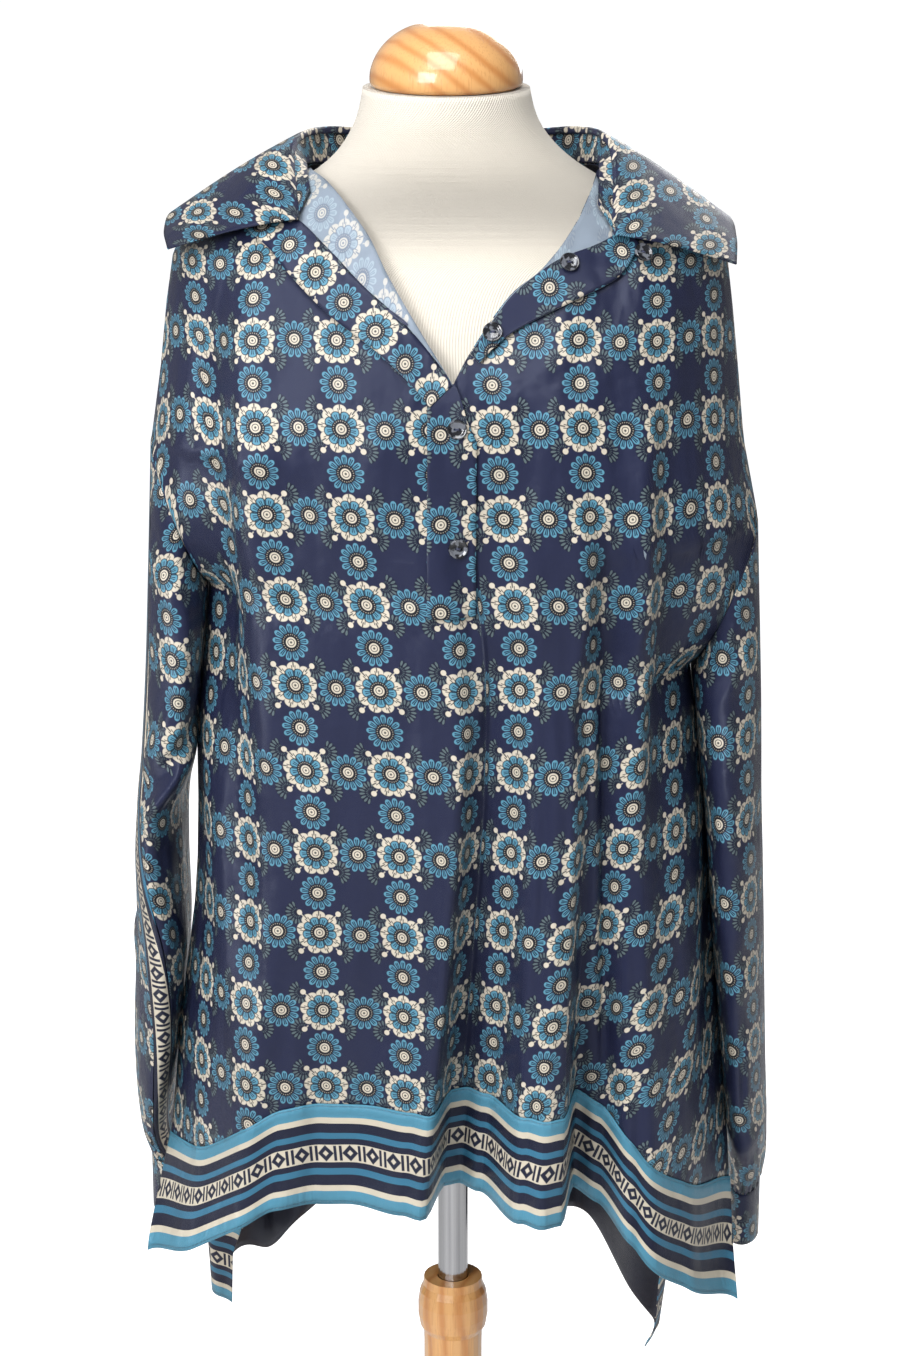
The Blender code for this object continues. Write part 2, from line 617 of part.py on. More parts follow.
def drawn_in(rows, gap):
    """Rows with both side edges moved in along the cloth, clear of the piece next to them."""
    rows = rows.copy()
    for edge, inner in ((0, 1), (-1, -2)):
        way = rows[:, inner] - rows[:, edge]
        rows[:, edge] += way / np.linalg.norm(way, axis=1, keepdims=True) * gap
    return rows


def in_lengths(rows, lengths):
    """Each length's name and its rows, a little below the length above it."""
    for length in lengths:
        part = rows[length.first : length.last + 1].copy()
        if length.first:
            part[0, :, 2] -= LENGTHS_APART
        yield length.name, part


def cuff_rows(side, turns):
    """Rows of points of a cuff, a little closer than the sleeve that is gathered into it."""
    last = SLEEVE_RINGS[side][-1]
    rows = []
    for drop, ease in ((0.0008, 1.0), (CUFF / 2, 0.97), (CUFF, 0.98)):
        ring = last._replace(height=last.height - drop, depth=last.depth * ease, centre=last.centre)
        rows.append([sleeve_ring(ring, side, turn) for turn in turns])
    return np.array(rows)


def collar_point(share, which):
    """A point of the collar's neck seam, fold or outer edge."""
    return np.array([float(smooth(COLLAR, "share", f"{which}_{axis}", share)) for axis in "xyz"])


def stand_rows(shares):
    """The stand, from the neck seam to just inside the fold."""
    rows = []
    for rise in (0.0, 0.45, 0.9):
        rows.append([
            collar_point(s, "seam") + (collar_point(s, "fold") - collar_point(s, "seam")) * rise for s in shares
        ])
    return np.array(rows)


def fall_rows(shares, steps=5):
    """The fall, from the fold over the shoulders to its outer edge, arched like turned cloth."""
    rows = []
    for step in range(steps + 1):
        across = step / steps
        row = []
        for share in shares:
            fold, out = collar_point(share, "fold"), collar_point(share, "out")
            point = fold + (out - fold) * across
            arch = math.sin(math.pi * across**0.8)
            point += arch * np.array([0, -FALL_BULGE * abs(2 * share - 1) ** 4, FALL_ARCH])
            row.append(point)
        rows.append(row)
    return np.array(rows)


def lapel_rows(side, along=9, across=3):
    """A turned-back front edge, lying on the front from its roll to its free edge."""
    table = LAPELS[side]
    rows = []
    for step in range(across + 1):
        part = step / across
        row = []
        for place in np.linspace(0, table[-1].place, along):
            roll_x, roll_z, free_x, free_z = (
                float(smooth(table, "place", name, place)) for name in LapelLine._fields[1:]
            )
            x = side * (roll_x + (free_x - roll_x) * part)
            row.append(on_front(x, roll_z + (free_z - roll_z) * part, PROUD)[0])
        rows.append(row)
    return np.array(rows)


def placket_rows(across=3, down=8):
    """The placket's box, lying on the front below the V."""
    rows = []
    for step in range(down + 1):
        z = PLACKET_TOP + (PLACKET_FOOT - PLACKET_TOP) * step / down
        xs = np.linspace(PLACKET_LEFT, PLACKET_RIGHT, across + 1)
        rows.append([on_front(x, z, CLOTH + SEAM)[0] for x in xs])
    return np.array(rows)


# ------------------------------------------------------------------ making the objects
def clear_scene():
    """Empties the startup scene."""
    for item in list(bpy.data.objects):
        bpy.data.objects.remove(item, do_unlink=True)


def collection_named(name):
    group = bpy.data.collections.new(name)
    bpy.context.scene.collection.children.link(group)
    return group


def material(name):
    """The Principled material of one finish."""
    made = bpy.data.materials.get(name)
    if made:
        return made
    finish = FINISHES[name]
    made = bpy.data.materials.new(name)
    made.use_nodes = True
    shader = made.node_tree.nodes["Principled BSDF"]
    shader.inputs["Base Color"].default_value = finish.colour
    shader.inputs["Roughness"].default_value = finish.roughness
    shader.inputs["Metallic"].default_value = finish.metallic
    made.diffuse_color = finish.colour
    return made


def place(name, mesh, finish, group):
    """Makes the object of a mesh, smooth but for its edges."""
    mesh.materials.append(material(finish))
    mesh.shade_smooth()
    mesh.set_sharp_from_angle(angle=math.radians(40))
    item = bpy.data.objects.new(name, mesh)
    group.objects.link(item)
    return item


def cloth_wall(name, rows, finish, group, wall=CLOTH, closed=False, outward=True):
    """A wall of even thickness round a grid of points, left open at its edges."""
    down, across = rows.shape[:2]
    net = bmesh.new()
    points = [[net.verts.new(point) for point in row] for row in rows]
    for i in range(down - 1):
        for j in range(across if closed else across - 1):
            k = (j + 1) % across
            corners = (points[i][j], points[i + 1][j], points[i + 1][k], points[i][k])
            net.faces.new(corners if outward else corners[::-1])
    mesh = bpy.data.meshes.new(name)
    net.to_mesh(mesh)
    net.free()
    item = place(name, mesh, finish, group)
    solid = item.modifiers.new("wall", "SOLIDIFY")
    solid.thickness = wall
    solid.offset = 0
    solid.use_even_offset = False
    return item


def turned(name, profile, finish, group, steps):
    """A turned piece: its profile carried round the upright axis."""
    net = bmesh.new()
    points = [net.verts.new((point.radius, 0, point.height)) for point in profile]
    for first, second in zip(points, points[1:]):
        net.edges.new((first, second))
    mesh = bpy.data.meshes.new(name)
    net.to_mesh(mesh)
    net.free()
    item = place(name, mesh, finish, group)
    screw = item.modifiers.new("turn", "SCREW")
    screw.steps = steps
    screw.render_steps = steps
    screw.use_merge_vertices = True
    screw.merge_threshold = 0.00001
    screw.use_smooth_shade = True
    return item


def form_torso(group):
    """The form's body and neck: closed sections from the foot up."""
    net = bmesh.new()
    rings = []
    for row in FORM_RINGS:
        ring = []
        for step in range(FORM_SIDES):
            angle = 2 * math.pi * step / FORM_SIDES
            c, s = math.cos(angle), math.sin(angle)
            along = 1 - (1 - 2 / ROUNDNESS) * row.squareness
            into = 1 + (2 * FULLNESS - 1) * row.squareness
            x = row.centre + row.half_width * math.copysign(abs(c) ** along, c)
            depth = row.back if s > 0 else row.front
            y = depth * math.copysign(abs(s) ** into, s)
            ring.append(net.verts.new((x, y, row.height + row.tilt * y)))
        rings.append(ring)
    for low, high in zip(rings, rings[1:]):
        for j in range(FORM_SIDES):
            k = (j + 1) % FORM_SIDES
            net.faces.new((low[j], low[k], high[k], high[j]))
    net.faces.new(rings[0][::-1])
    net.faces.new(rings[-1])
    mesh = bpy.data.meshes.new("form_torso")
    net.to_mesh(mesh)
    net.free()
    return place("form_torso", mesh, "form_jersey", group)


def make_form(group):
    """The limbless form and the stand that carries it."""
    form_torso(group)
    cap = turned("neck_cap", CAP_PROFILE, "pine", group, 28)
    cap.location = (CAP_X, 0, CAP_FOOT)
    cap.rotation_euler = (math.atan(CAP_TILT), 0, 0)
    bore = [
        TurnedPoint(0.0, BORE_FOOT),
        TurnedPoint(POLE_RADIUS + POLE_FIT, BORE_FOOT),
        TurnedPoint(POLE_RADIUS + POLE_FIT, POST_TOP),
    ]
    turned("post", bore + POST_PROFILE + [TurnedPoint(0.0, POST_FOOT)], "pine", group, 24)
    turned("base", BASE_PROFILE, "pine", group, 40)
    pole = [
        TurnedPoint(0.0, POLE_TOP),
        TurnedPoint(POLE_RADIUS, POLE_TOP),
        TurnedPoint(POLE_RADIUS, POLE_FOOT),
        TurnedPoint(0.0, POLE_FOOT),
    ]
    turned("pole", pole, "steel", group, 24)


def make_body(group):
    """Front, back and their hem bands."""
    for name, shares, levels, sides, face in (
        ("front", FRONT_SHARES, FRONT_LEVELS, FRONT_SIDES, -1),
        ("back", BACK_SHARES, BACK_LEVELS, BACK_SIDES, 1),
    ):
        rows = panel_rows(shares, levels, sides, face)
        cloth_wall(name, rows, "print_satin", group, outward=face < 0)
        rows = band_rows(shares, levels, sides, face)
        cloth_wall(f"{name}_hem_band", rows, "band_satin", group, outward=face < 0)


def make_sleeves(group):
    """Each sleeve with the strip let in down its outer line, both in lengths, and its cuff."""
    for side, name in ((LEFT, "left"), (RIGHT, "right")):
        round_all = [step / SLEEVE_SIDES for step in range(STRIP_SIDES, SLEEVE_SIDES - STRIP_SIDES + 1)]
        strip = [step / SLEEVE_SIDES for step in range(-STRIP_SIDES, STRIP_SIDES + 1)]
        outward = side == LEFT
        rows = drawn_in(sleeve_rows(side, round_all), STRIP_CLEAR)
        for part, points in in_lengths(rows, SLEEVE_LENGTHS):
            cloth_wall(f"sleeve_{name}_{part}", points, "print_satin", group, outward=not outward)
        for part, points in in_lengths(sleeve_rows(side, strip), STRIP_LENGTHS):
            cloth_wall(f"sleeve_strip_{name}_{part}", points, "band_satin", group, outward=not outward)
        ring = [step / SLEEVE_SIDES for step in range(SLEEVE_SIDES)]
        cloth_wall(
            f"cuff_{name}", cuff_rows(side, ring), "print_satin", group, closed=True, outward=not outward
        )


def make_collar(group):
    """Stand, fall and the fronts' turned-back edges."""
    shares = [step / 22 for step in range(23)]
    cloth_wall("collar_stand", stand_rows(shares), "print_satin", group, wall=TRIM)
    cloth_wall("collar_fall", fall_rows(shares), "print_satin", group)
    for side, name in ((LEFT, "left"), (RIGHT, "right")):
        cloth_wall(f"lapel_{name}", lapel_rows(side), "facing_satin", group, wall=TRIM)
    cloth_wall("placket", placket_rows(), "print_satin", group, wall=TRIM)


def make_button(name, place_at, out, group):
    """One button, its face turned to the direction out."""
    item = turned(name, BUTTON_PROFILE, "button_resin", group, 12)
    item.location = place_at
    item.rotation_mode = "QUATERNION"
    item.rotation_quaternion = Vector((0, 0, 1)).rotation_difference(Vector(out))


def make_buttons(group):
    """The buttons on the placket and the turned-back right edge."""
    for row in FRONT_BUTTONS:
        spot, out = on_front(row.x, row.height, row.proud)
        make_button(row.name, spot, out, group)


def main():
    clear_scene()
    blouse = collection_named("blouse_on_form")
    make_form(blouse)
    make_body(blouse)
    make_sleeves(blouse)
    make_collar(blouse)
    make_buttons(blouse)


main()
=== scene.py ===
"""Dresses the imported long-sleeve satin blouse on its limbless form and stand.

Metres, +Z up, the origin on the floor. The front faces -Y, and "left" is the left of someone who
looks at the front. Cloth pieces are fine grids of points from the tables below, with UVs in metres
of flat cloth, so that the print, the stripes and the stitches keep their real size. A panel is read
at shares of its width, which run from -1 at its left side to 1 at its right side.
"""

from __future__ import annotations

import json
import logging
import math
from dataclasses import dataclass, field
from enum import Enum
from functools import reduce
from typing import Iterable, NamedTuple, Optional, Sequence

import bmesh
import bpy
import numpy as np
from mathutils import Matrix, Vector

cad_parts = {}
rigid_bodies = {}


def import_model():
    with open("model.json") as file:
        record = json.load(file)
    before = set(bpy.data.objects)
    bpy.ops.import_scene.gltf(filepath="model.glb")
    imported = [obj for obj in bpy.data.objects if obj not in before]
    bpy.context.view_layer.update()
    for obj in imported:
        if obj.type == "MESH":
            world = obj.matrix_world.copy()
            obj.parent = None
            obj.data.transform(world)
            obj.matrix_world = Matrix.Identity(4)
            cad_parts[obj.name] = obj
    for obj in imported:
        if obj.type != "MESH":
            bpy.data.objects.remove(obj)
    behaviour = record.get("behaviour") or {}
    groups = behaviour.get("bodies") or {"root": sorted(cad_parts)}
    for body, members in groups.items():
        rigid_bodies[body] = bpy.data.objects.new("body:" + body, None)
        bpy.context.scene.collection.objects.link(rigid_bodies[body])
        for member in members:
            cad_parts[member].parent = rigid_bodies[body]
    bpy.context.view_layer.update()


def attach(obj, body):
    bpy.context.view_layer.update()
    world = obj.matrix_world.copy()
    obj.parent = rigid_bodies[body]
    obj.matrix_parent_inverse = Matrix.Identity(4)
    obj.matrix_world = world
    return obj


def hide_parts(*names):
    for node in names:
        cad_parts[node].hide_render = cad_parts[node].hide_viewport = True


log = logging.getLogger("blouse")

Array = np.ndarray
Colour = tuple[float, float, float]
Socket, Mesh, Item = bpy.types.NodeSocket, bpy.types.Mesh, bpy.types.Object
LEFT, RIGHT = -1, 1
FRONT, BACK = -1, 1
SIDES = ((LEFT, "left"), (RIGHT, "right"))


def table(kind: type, *rows: tuple) -> tuple:
    """A table whose rows are all of one kind."""
    return tuple(kind(*row) for row in rows)


# ---------------- tables of the cut
class Outline(NamedTuple):
    """Half widths of the worn blouse at one height."""

    height: float
    left: float
    right: float


UPPER = table(
    Outline,
    (1.465, 0.076, 0.076), (1.454, 0.0975, 0.0975), (1.4335, 0.137, 0.137), (1.413, 0.1765, 0.1755),
    (1.398, 0.188, 0.184), (1.364, 0.1935, 0.1885), (1.32, 0.1985, 0.1935), (1.271, 0.206, 0.1985),
)
FRONT_SIDES = UPPER + table(
    Outline,
    (1.22, 0.1866, 0.209), (1.215, 0.1847, 0.2095), (1.1725, 0.1685, 0.1906),
    (1.115, 0.1745, 0.165), (1.075, 0.179, 0.17), (1.051, 0.1798, 0.1725), (1.015, 0.18, 0.1765),
    (0.97, 0.1815, 0.1802), (0.936, 0.1842, 0.183), (0.9, 0.1892, 0.1865), (0.85, 0.1965, 0.1915),
    (0.761, 0.2045, 0.199), (0.695, 0.2188, 0.201), (0.64, 0.224, 0.205),
)
BACK_SIDES = FRONT_SIDES[:-3] + table(
    Outline,
    (0.761, 0.2, 0.194), (0.69, 0.1985, 0.186), (0.635, 0.206, 0.179), (0.54, 0.204, 0.169),
)


class Depth(NamedTuple):
    """How far the cloth stands from the pole's axis in the middle of the front and back."""

    height: float
    front: float
    back: float


CLOTH_DEPTH = table(
    Depth,
    (1.465, 0.055, 0.068), (1.454, 0.06, 0.07), (1.444, 0.0645, 0.0745), (1.433, 0.072, 0.08),
    (1.418, 0.081, 0.088), (1.4, 0.094, 0.096), (1.36, 0.1145, 0.108), (1.327, 0.127, 0.113),
    (1.22, 0.14, 0.116), (1.1, 0.14, 0.115), (0.95, 0.136, 0.12), (0.8, 0.127, 0.122),
    (0.54, 0.127, 0.124),
)


class EdgePoint(NamedTuple):
    """A point of a panel's upper edge, its share of the width from 0 to 1."""

    share: float
    x: float
    height: float


FRONT_EDGE = {
    LEFT: table(
        EdgePoint,
        (0.0, 0.0, 1.327), (0.13, 0.026, 1.367), (0.21, 0.042, 1.393), (0.3, 0.056, 1.418),
        (0.4, 0.0785, 1.444), (0.46, 0.0965, 1.4545),
    ),
    RIGHT: table(
        EdgePoint,
        (0.0, 0.0, 1.327), (0.08, 0.011, 1.3456), (0.2, 0.038, 1.3815), (0.3, 0.0594, 1.398),
        (0.38, 0.0787, 1.4215), (0.46, 0.0965, 1.4545),
    ),
}
BACK_EDGE = table(
    EdgePoint,
    (0.0, 0.0, 1.443), (0.2, 0.035, 1.444), (0.34, 0.068, 1.448), (0.46, 0.0965, 1.4545),
)


class ShoulderPoint(NamedTuple):
    """A point of the shoulder seam, which ends at the armhole."""

    share: float
    height: float


SHOULDER = {
    LEFT: table(
        ShoulderPoint,
        (0.46, 1.4545), (0.54, 1.443), (0.62, 1.432), (0.7, 1.4215), (0.78, 1.411), (0.85, 1.398),
        (0.89, 1.375), (0.93, 1.345), (0.97, 1.308), (1.0, 1.271),
    ),
    RIGHT: table(
        ShoulderPoint,
        (0.46, 1.4545), (0.54, 1.443), (0.62, 1.432), (0.7, 1.4215), (0.78, 1.411), (0.85, 1.396),
        (0.89, 1.365), (0.93, 1.325), (0.97, 1.272), (1.0, 1.215),
    ),
}


class Armhole(NamedTuple):
    """Where an armhole's top and foot lie, seen from the front."""

    top_x: float
    top_height: float
    foot_x: float
    foot_height: float


ARMHOLES = {
    LEFT: Armhole(0.2060, 1.2710, 0.1685, 1.1725),
    RIGHT: Armhole(0.2095, 1.2150, 0.1650, 1.1150),
}


class Level(NamedTuple):
    """Heights across a panel: under the turned-back stretch, at the slits' tops, and the hem."""

    share: float
    lapel: float
    slit: float
    hem: float


FRONT_LEVELS = table(
    Level,
    (-1.0, 1.1725, 0.8, 0.686), (-0.85, 1.24, 0.825, 0.706), (-0.72, 1.305, 0.845, 0.7325),
    (-0.6, 1.355, 0.858, 0.748), (-0.46, 1.385, 0.868, 0.752), (-0.3, 1.355, 0.872, 0.753),
    (-0.15, 1.325, 0.875, 0.753), (0.0, 1.295, 0.875, 0.754), (0.15, 1.325, 0.875, 0.754),
    (0.3, 1.365, 0.872, 0.756), (0.42, 1.38, 0.868, 0.754), (0.51, 1.37, 0.862, 0.746),
    (0.6, 1.33, 0.855, 0.732), (0.68, 1.29, 0.845, 0.712), (0.82, 1.21, 0.825, 0.684),
    (1.0, 1.115, 0.8, 0.656),
)
BACK_LEVELS = table(
    Level,
    (-1.0, 1.1725, 0.8, 0.576), (-0.9, 1.22, 0.818, 0.589), (-0.83, 1.25, 0.826, 0.609),
    (-0.7, 1.305, 0.84, 0.613), (-0.58, 1.345, 0.852, 0.648), (-0.4, 1.375, 0.86, 0.66),
    (0.0, 1.39, 0.865, 0.666), (0.4, 1.375, 0.86, 0.654), (0.6, 1.33, 0.85, 0.628),
    (0.8, 1.23, 0.83, 0.584), (1.0, 1.115, 0.8, 0.54),
)


class Fold(NamedTuple):
    """How far a share of the width is pushed back (+) or forward (-) at the hem."""

    share: float
    push: float


FRONT_FOLDS = table(
    Fold,
    (-1.0, 0.0), (-0.85, -0.02), (-0.72, -0.027), (-0.6, -0.012), (-0.46, 0.004), (-0.34, 0.008),
    (-0.17, -0.006), (-0.105, -0.014), (-0.03, 0.042), (0.02, 0.046), (0.09, 0.032), (0.23, -0.025),
    (0.3, -0.038), (0.36, -0.034), (0.42, 0.03), (0.51, 0.014), (0.62, -0.026), (0.7, -0.036),
    (0.82, -0.028), (1.0, 0.0),
)
BACK_FOLDS = table(
    Fold,
    (-1.0, 0.0), (-0.78, 0.018), (-0.56, -0.022), (-0.34, 0.026), (-0.1, -0.02), (0.14, 0.028),
    (0.38, -0.024), (0.6, 0.024), (0.8, -0.01), (1.0, 0.0),
)


class Gain(NamedTuple):
    """How much of a hem fold is left at a height, and how far it leans to the right."""

    height: float
    share: float
    lean: float


FOLD_GAIN = table(
    Gain,
    (0.54, 1.1, 0.0), (0.75, 1.0, 0.0), (0.85, 0.78, 0.007), (0.95, 0.56, 0.014),
    (1.05, 0.38, 0.02), (1.14, 0.2, 0.02), (1.24, 0.05, 0.008), (1.327, 0.0, 0.0), (1.47, 0.0, 0.0),
)


class Ring(NamedTuple):
    """A sleeve's section: outer and inner line, half depth, middle, lean and twist."""

    height: float
    outer: float
    inner: float
    depth: float
    centre: float
    lean: float
    twist: float


SLEEVE_RINGS = {
    LEFT: table(
        Ring,
        (1.16, 0.2118, 0.1704, 0.056, 0.0, 0.006, 0.0),
        (1.105, 0.215, 0.1762, 0.066, 0.002, 0.009, 0.01),
        (1.051, 0.219, 0.1808, 0.074, 0.006, 0.004, 0.04),
        (1.015, 0.2225, 0.1882, 0.078, 0.01, 0.0, 0.09),
        (0.97, 0.2255, 0.1905, 0.079, 0.014, 0.0, 0.15),
        (0.91, 0.2285, 0.1905, 0.078, 0.02, 0.006, 0.21),
        (0.85, 0.232, 0.197, 0.076, 0.026, 0.008, 0.27),
        (0.795, 0.233, 0.203, 0.07, 0.036, 0.004, 0.31),
        (0.758, 0.23, 0.205, 0.06, 0.046, 0.0, 0.33), (0.733, 0.2245, 0.2, 0.05, 0.05, 0.0, 0.34),
    ),
    RIGHT: table(
        Ring,
        (1.105, 0.215, 0.167, 0.056, 0.0, 0.008, -0.07),
        (1.06, 0.2168, 0.1722, 0.066, 0.002, 0.01, -0.08),
        (1.015, 0.2185, 0.1771, 0.074, 0.006, 0.01, -0.09),
        (0.97, 0.221, 0.1807, 0.078, 0.01, 0.01, -0.1),
        (0.92, 0.2235, 0.1851, 0.079, 0.014, 0.01, -0.1),
        (0.865, 0.2262, 0.1905, 0.078, 0.02, 0.01, -0.1),
        (0.81, 0.229, 0.196, 0.076, 0.026, 0.01, -0.1),
        (0.765, 0.232, 0.1997, 0.07, 0.034, 0.008, -0.1),
        (0.733, 0.233, 0.2025, 0.06, 0.042, 0.006, -0.1),
        (0.708, 0.23, 0.204, 0.05, 0.048, 0.004, -0.1),
    ),
}


class CollarLine(NamedTuple):
    """The collar at one share of its length: neck seam, fold and outer edge."""

    share: float
    seam: tuple[float, float, float]
    fold: tuple[float, float, float]
    out: tuple[float, float, float]


COLLAR = table(
    CollarLine,
    (0.0, (-0.093, -0.051, 1.4425), (-0.102, -0.0715, 1.4255), (-0.188, -0.042, 1.4036)),
    (0.08, (-0.0965, -0.02, 1.4556), (-0.1075, -0.024, 1.462), (-0.1925, -0.015, 1.413)),
    (0.17, (-0.0965, 0.001, 1.4562), (-0.101, 0.003, 1.475), (-0.188, 0.014, 1.423)),
    (0.26, (-0.083, 0.0415, 1.4527), (-0.086, 0.042, 1.476), (-0.164, 0.056, 1.417)),
    (0.38, (-0.048, 0.0685, 1.4466), (-0.05, 0.072, 1.472), (-0.093, 0.099, 1.4)),
    (0.5, (0.0, 0.0748, 1.444), (0.0, 0.084, 1.47), (0.0, 0.113, 1.393)),
    (0.62, (0.048, 0.0685, 1.4466), (0.05, 0.072, 1.472), (0.093, 0.099, 1.4)),
    (0.74, (0.083, 0.0415, 1.4527), (0.086, 0.042, 1.476), (0.164, 0.056, 1.415)),
    (0.83, (0.0965, 0.001, 1.4562), (0.1, 0.003, 1.475), (0.185, 0.014, 1.42)),
    (0.92, (0.0965, -0.0215, 1.456), (0.1075, -0.024, 1.46), (0.189, -0.015, 1.408)),
    (1.0, (0.094, -0.062, 1.4356), (0.106, -0.0785, 1.416), (0.1866, -0.045, 1.394)),
)


class LapelLine(NamedTuple):
    """A turned-back edge: its roll, its free edge, and where its facing begins between them."""

    place: float
    roll_x: float
    roll_z: float
    free_x: float
    free_z: float
    facing: float


LAPELS = {
    LEFT: table(
        LapelLine,
        (0, 0.093, 1.4525, 0.137, 1.418, 0.62), (1, 0.0784, 1.444, 0.1185, 1.406, 0.54),
        (2, 0.056, 1.418, 0.1023, 1.389, 0.46), (3, 0.042, 1.393, 0.079, 1.368, 0.36),
        (4, 0.026, 1.367, 0.048, 1.346, 0.2), (5, 0.006, 1.3362, 0.024, 1.324, 0.03),
        (6, 0.0002, 1.3268, 0.015, 1.313, 0.03),
    ),
    RIGHT: table(
        LapelLine,
        (0, 0.093, 1.448, 0.12, 1.408, 0.75), (1, 0.0787, 1.4215, 0.106, 1.39, 0.42),
        (2, 0.0594, 1.398, 0.0811, 1.378, 0.05), (3, 0.038, 1.3815, 0.0577, 1.368, 0.03),
        (4, 0.024, 1.364, 0.0345, 1.356, 0.03), (5, 0.011, 1.3456, 0.0165, 1.34, 0.03),
    ),
}


class FormRing(NamedTuple):
    """A section of the form, square-shouldered at 1 and round at 0."""

    height: float
    half_width: float
    front: float
    back: float
    squareness: float
    tilt: float
    centre: float


FORM_RINGS = table(
    FormRing,
    (0.85, 0.15, 0.072, 0.098, 1.0, 0.0, 0.0), (0.93, 0.156, 0.075, 0.104, 1.0, 0.0, 0.0),
    (1.0, 0.142, 0.077, 0.092, 1.0, 0.0, 0.0), (1.07, 0.125, 0.081, 0.078, 1.0, 0.0, 0.0),
    (1.14, 0.135, 0.104, 0.088, 1.0, 0.0, 0.0), (1.205, 0.148, 0.122, 0.1, 1.0, 0.0, 0.0),
    (1.27, 0.156, 0.121, 0.104, 1.0, 0.0, 0.0), (1.327, 0.162, 0.114, 0.104, 1.0, 0.0, 0.0),
    (1.365, 0.168, 0.1015, 0.099, 1.0, 0.0, 0.0), (1.395, 0.173, 0.0855, 0.087, 1.0, 0.0, 0.0),
    (1.4115, 0.17, 0.0755, 0.079, 1.0, 0.0, 0.0), (1.426, 0.145, 0.066, 0.073, 0.9, 0.0, 0.0),
    (1.44, 0.113, 0.0585, 0.065, 0.7, 0.0, 0.0), (1.453, 0.0862, 0.0555, 0.0605, 0.4, 0.0, 0.0),
    (1.462, 0.0765, 0.0548, 0.06, 0.1, 0.0, -0.0015),
    (1.473, 0.067, 0.055, 0.06, 0.0, 0.02, -0.0035),
    (1.488, 0.059, 0.056, 0.056, 0.0, 0.04, -0.0042),
    (1.506, 0.056, 0.056, 0.055, 0.0, 0.07, -0.0045),
)


class Crease(NamedTuple):
    """A soft ridge with a valley beside it, between two places seen from the front."""

    x0: float
    z0: float
    x1: float
    z1: float
    rise: float
    width: float


FRONT_CREASES = table(
    Crease,
    (-0.12, 1.03, -0.134, 1.392, 0.0125, 0.0165), (-0.168, 1.215, -0.12, 1.165, 0.0024, 0.008),
    (-0.165, 1.12, -0.15, 0.86, 0.005, 0.01), (-0.12, 1.04, -0.128, 0.8, 0.0026, 0.014),
    (0.124, 1.34, 0.117, 0.99, 0.0105, 0.0125), (0.168, 1.14, 0.11, 1.12, 0.0024, 0.008),
    (0.165, 1.06, 0.16, 0.82, 0.005, 0.012), (0.084, 1.24, 0.092, 0.83, 0.0115, 0.0095),
    (-0.058, 1.175, -0.004, 1.183, 0.0016, 0.006), (-0.03, 1.155, 0.022, 1.168, 0.0014, 0.005),
    (0.018, 1.175, -0.006, 0.83, 0.0052, 0.007), (0.03, 1.24, 0.062, 1.2, 0.0014, 0.007),
    (-0.06, 1.0, -0.066, 0.8, 0.0022, 0.012), (0.046, 1.06, 0.036, 0.83, 0.0022, 0.012),
)
BACK_CREASES = table(
    Crease,
    (-0.16, 1.35, -0.12, 1.12, 0.005, 0.011), (0.16, 1.33, 0.118, 1.08, 0.005, 0.011),
    (-0.165, 1.2, -0.1, 1.15, 0.0024, 0.009), (0.16, 1.15, 0.095, 1.1, 0.0024, 0.009),
    (-0.07, 1.3, -0.058, 0.96, 0.0034, 0.014), (0.06, 1.28, 0.076, 0.94, 0.0036, 0.015),
    (0.0, 1.22, 0.01, 0.9, 0.003, 0.013),
)
SLEEVE_CREASES = {
    LEFT: table(
        Crease,
        (0.04, 1.01, 0.44, 1.07, 0.0085, 0.01), (0.1, 0.985, 0.46, 1.03, -0.005, 0.018),
        (0.02, 1.04, 0.22, 1.09, 0.0026, 0.01), (0.05, 0.985, 0.3, 0.965, 0.0026, 0.01),
        (0.12, 0.93, 0.2, 0.84, 0.0024, 0.018), (0.04, 1.2, 0.34, 1.15, 0.0024, 0.01),
        (0.6, 1.03, 0.92, 1.07, 0.0032, 0.012), (0.62, 0.93, 0.88, 0.9, 0.0024, 0.012),
        (0.16, 0.8, 0.36, 0.775, 0.0022, 0.009),
    ),
    RIGHT: table(
        Crease,
        (0.08, 0.98, 0.38, 1.01, 0.003, 0.012), (0.1, 1.13, 0.32, 1.09, 0.0026, 0.01),
        (0.14, 0.9, 0.34, 0.88, 0.0026, 0.012), (0.2, 0.86, 0.24, 0.76, 0.0022, 0.018),
        (0.6, 1.0, 0.92, 1.04, 0.003, 0.012), (0.62, 0.88, 0.9, 0.85, 0.0026, 0.012),
        (0.1, 0.77, 0.34, 0.752, 0.0024, 0.009),
    ),
}

# Widths and lengths that several pieces share.
SEAM = 0.0005  # from a panel's edge to the middle of its side seam
BAND, UNDER_BAND, BAND_PROUD = 0.077, 0.003, 0.0009
CUFF = 0.050
SATIN = 0.0005
PROUD = 0.0026  # of a turned-back edge over the front
SLIT_TOP, SLIT_FOOT = 0.80, 0.60
SLEEVE_CLEAR, UNDERARM_CLEAR = 0.0002, 0.0010
STRIP_TURN = 1 / 16
FALL_ARCH, FALL_BULGE = 0.003, 0.005

# Shape of the worn body: its sections, its armholes and how it narrows to the neck.
ROUNDNESS, FULLNESS = 2.6, 0.62
HALF_WIDE, HALF_DEEP = 0.19, 0.13
ARMHOLE_DEPTH, SHOULDER_BLEND = 0.050, 0.14

# A crease fades towards its ends, and the valley beside it lies this deep and this far off.
CREASE_END, VALLEY_DEPTH, VALLEY_OFF = 0.8, 0.7, 1.8


# ---------------- reading the tables
def column(rows: Sequence, name: str) -> Array:
    """One named column of a table, as an array."""
    return np.array([getattr(row, name) for row in rows])


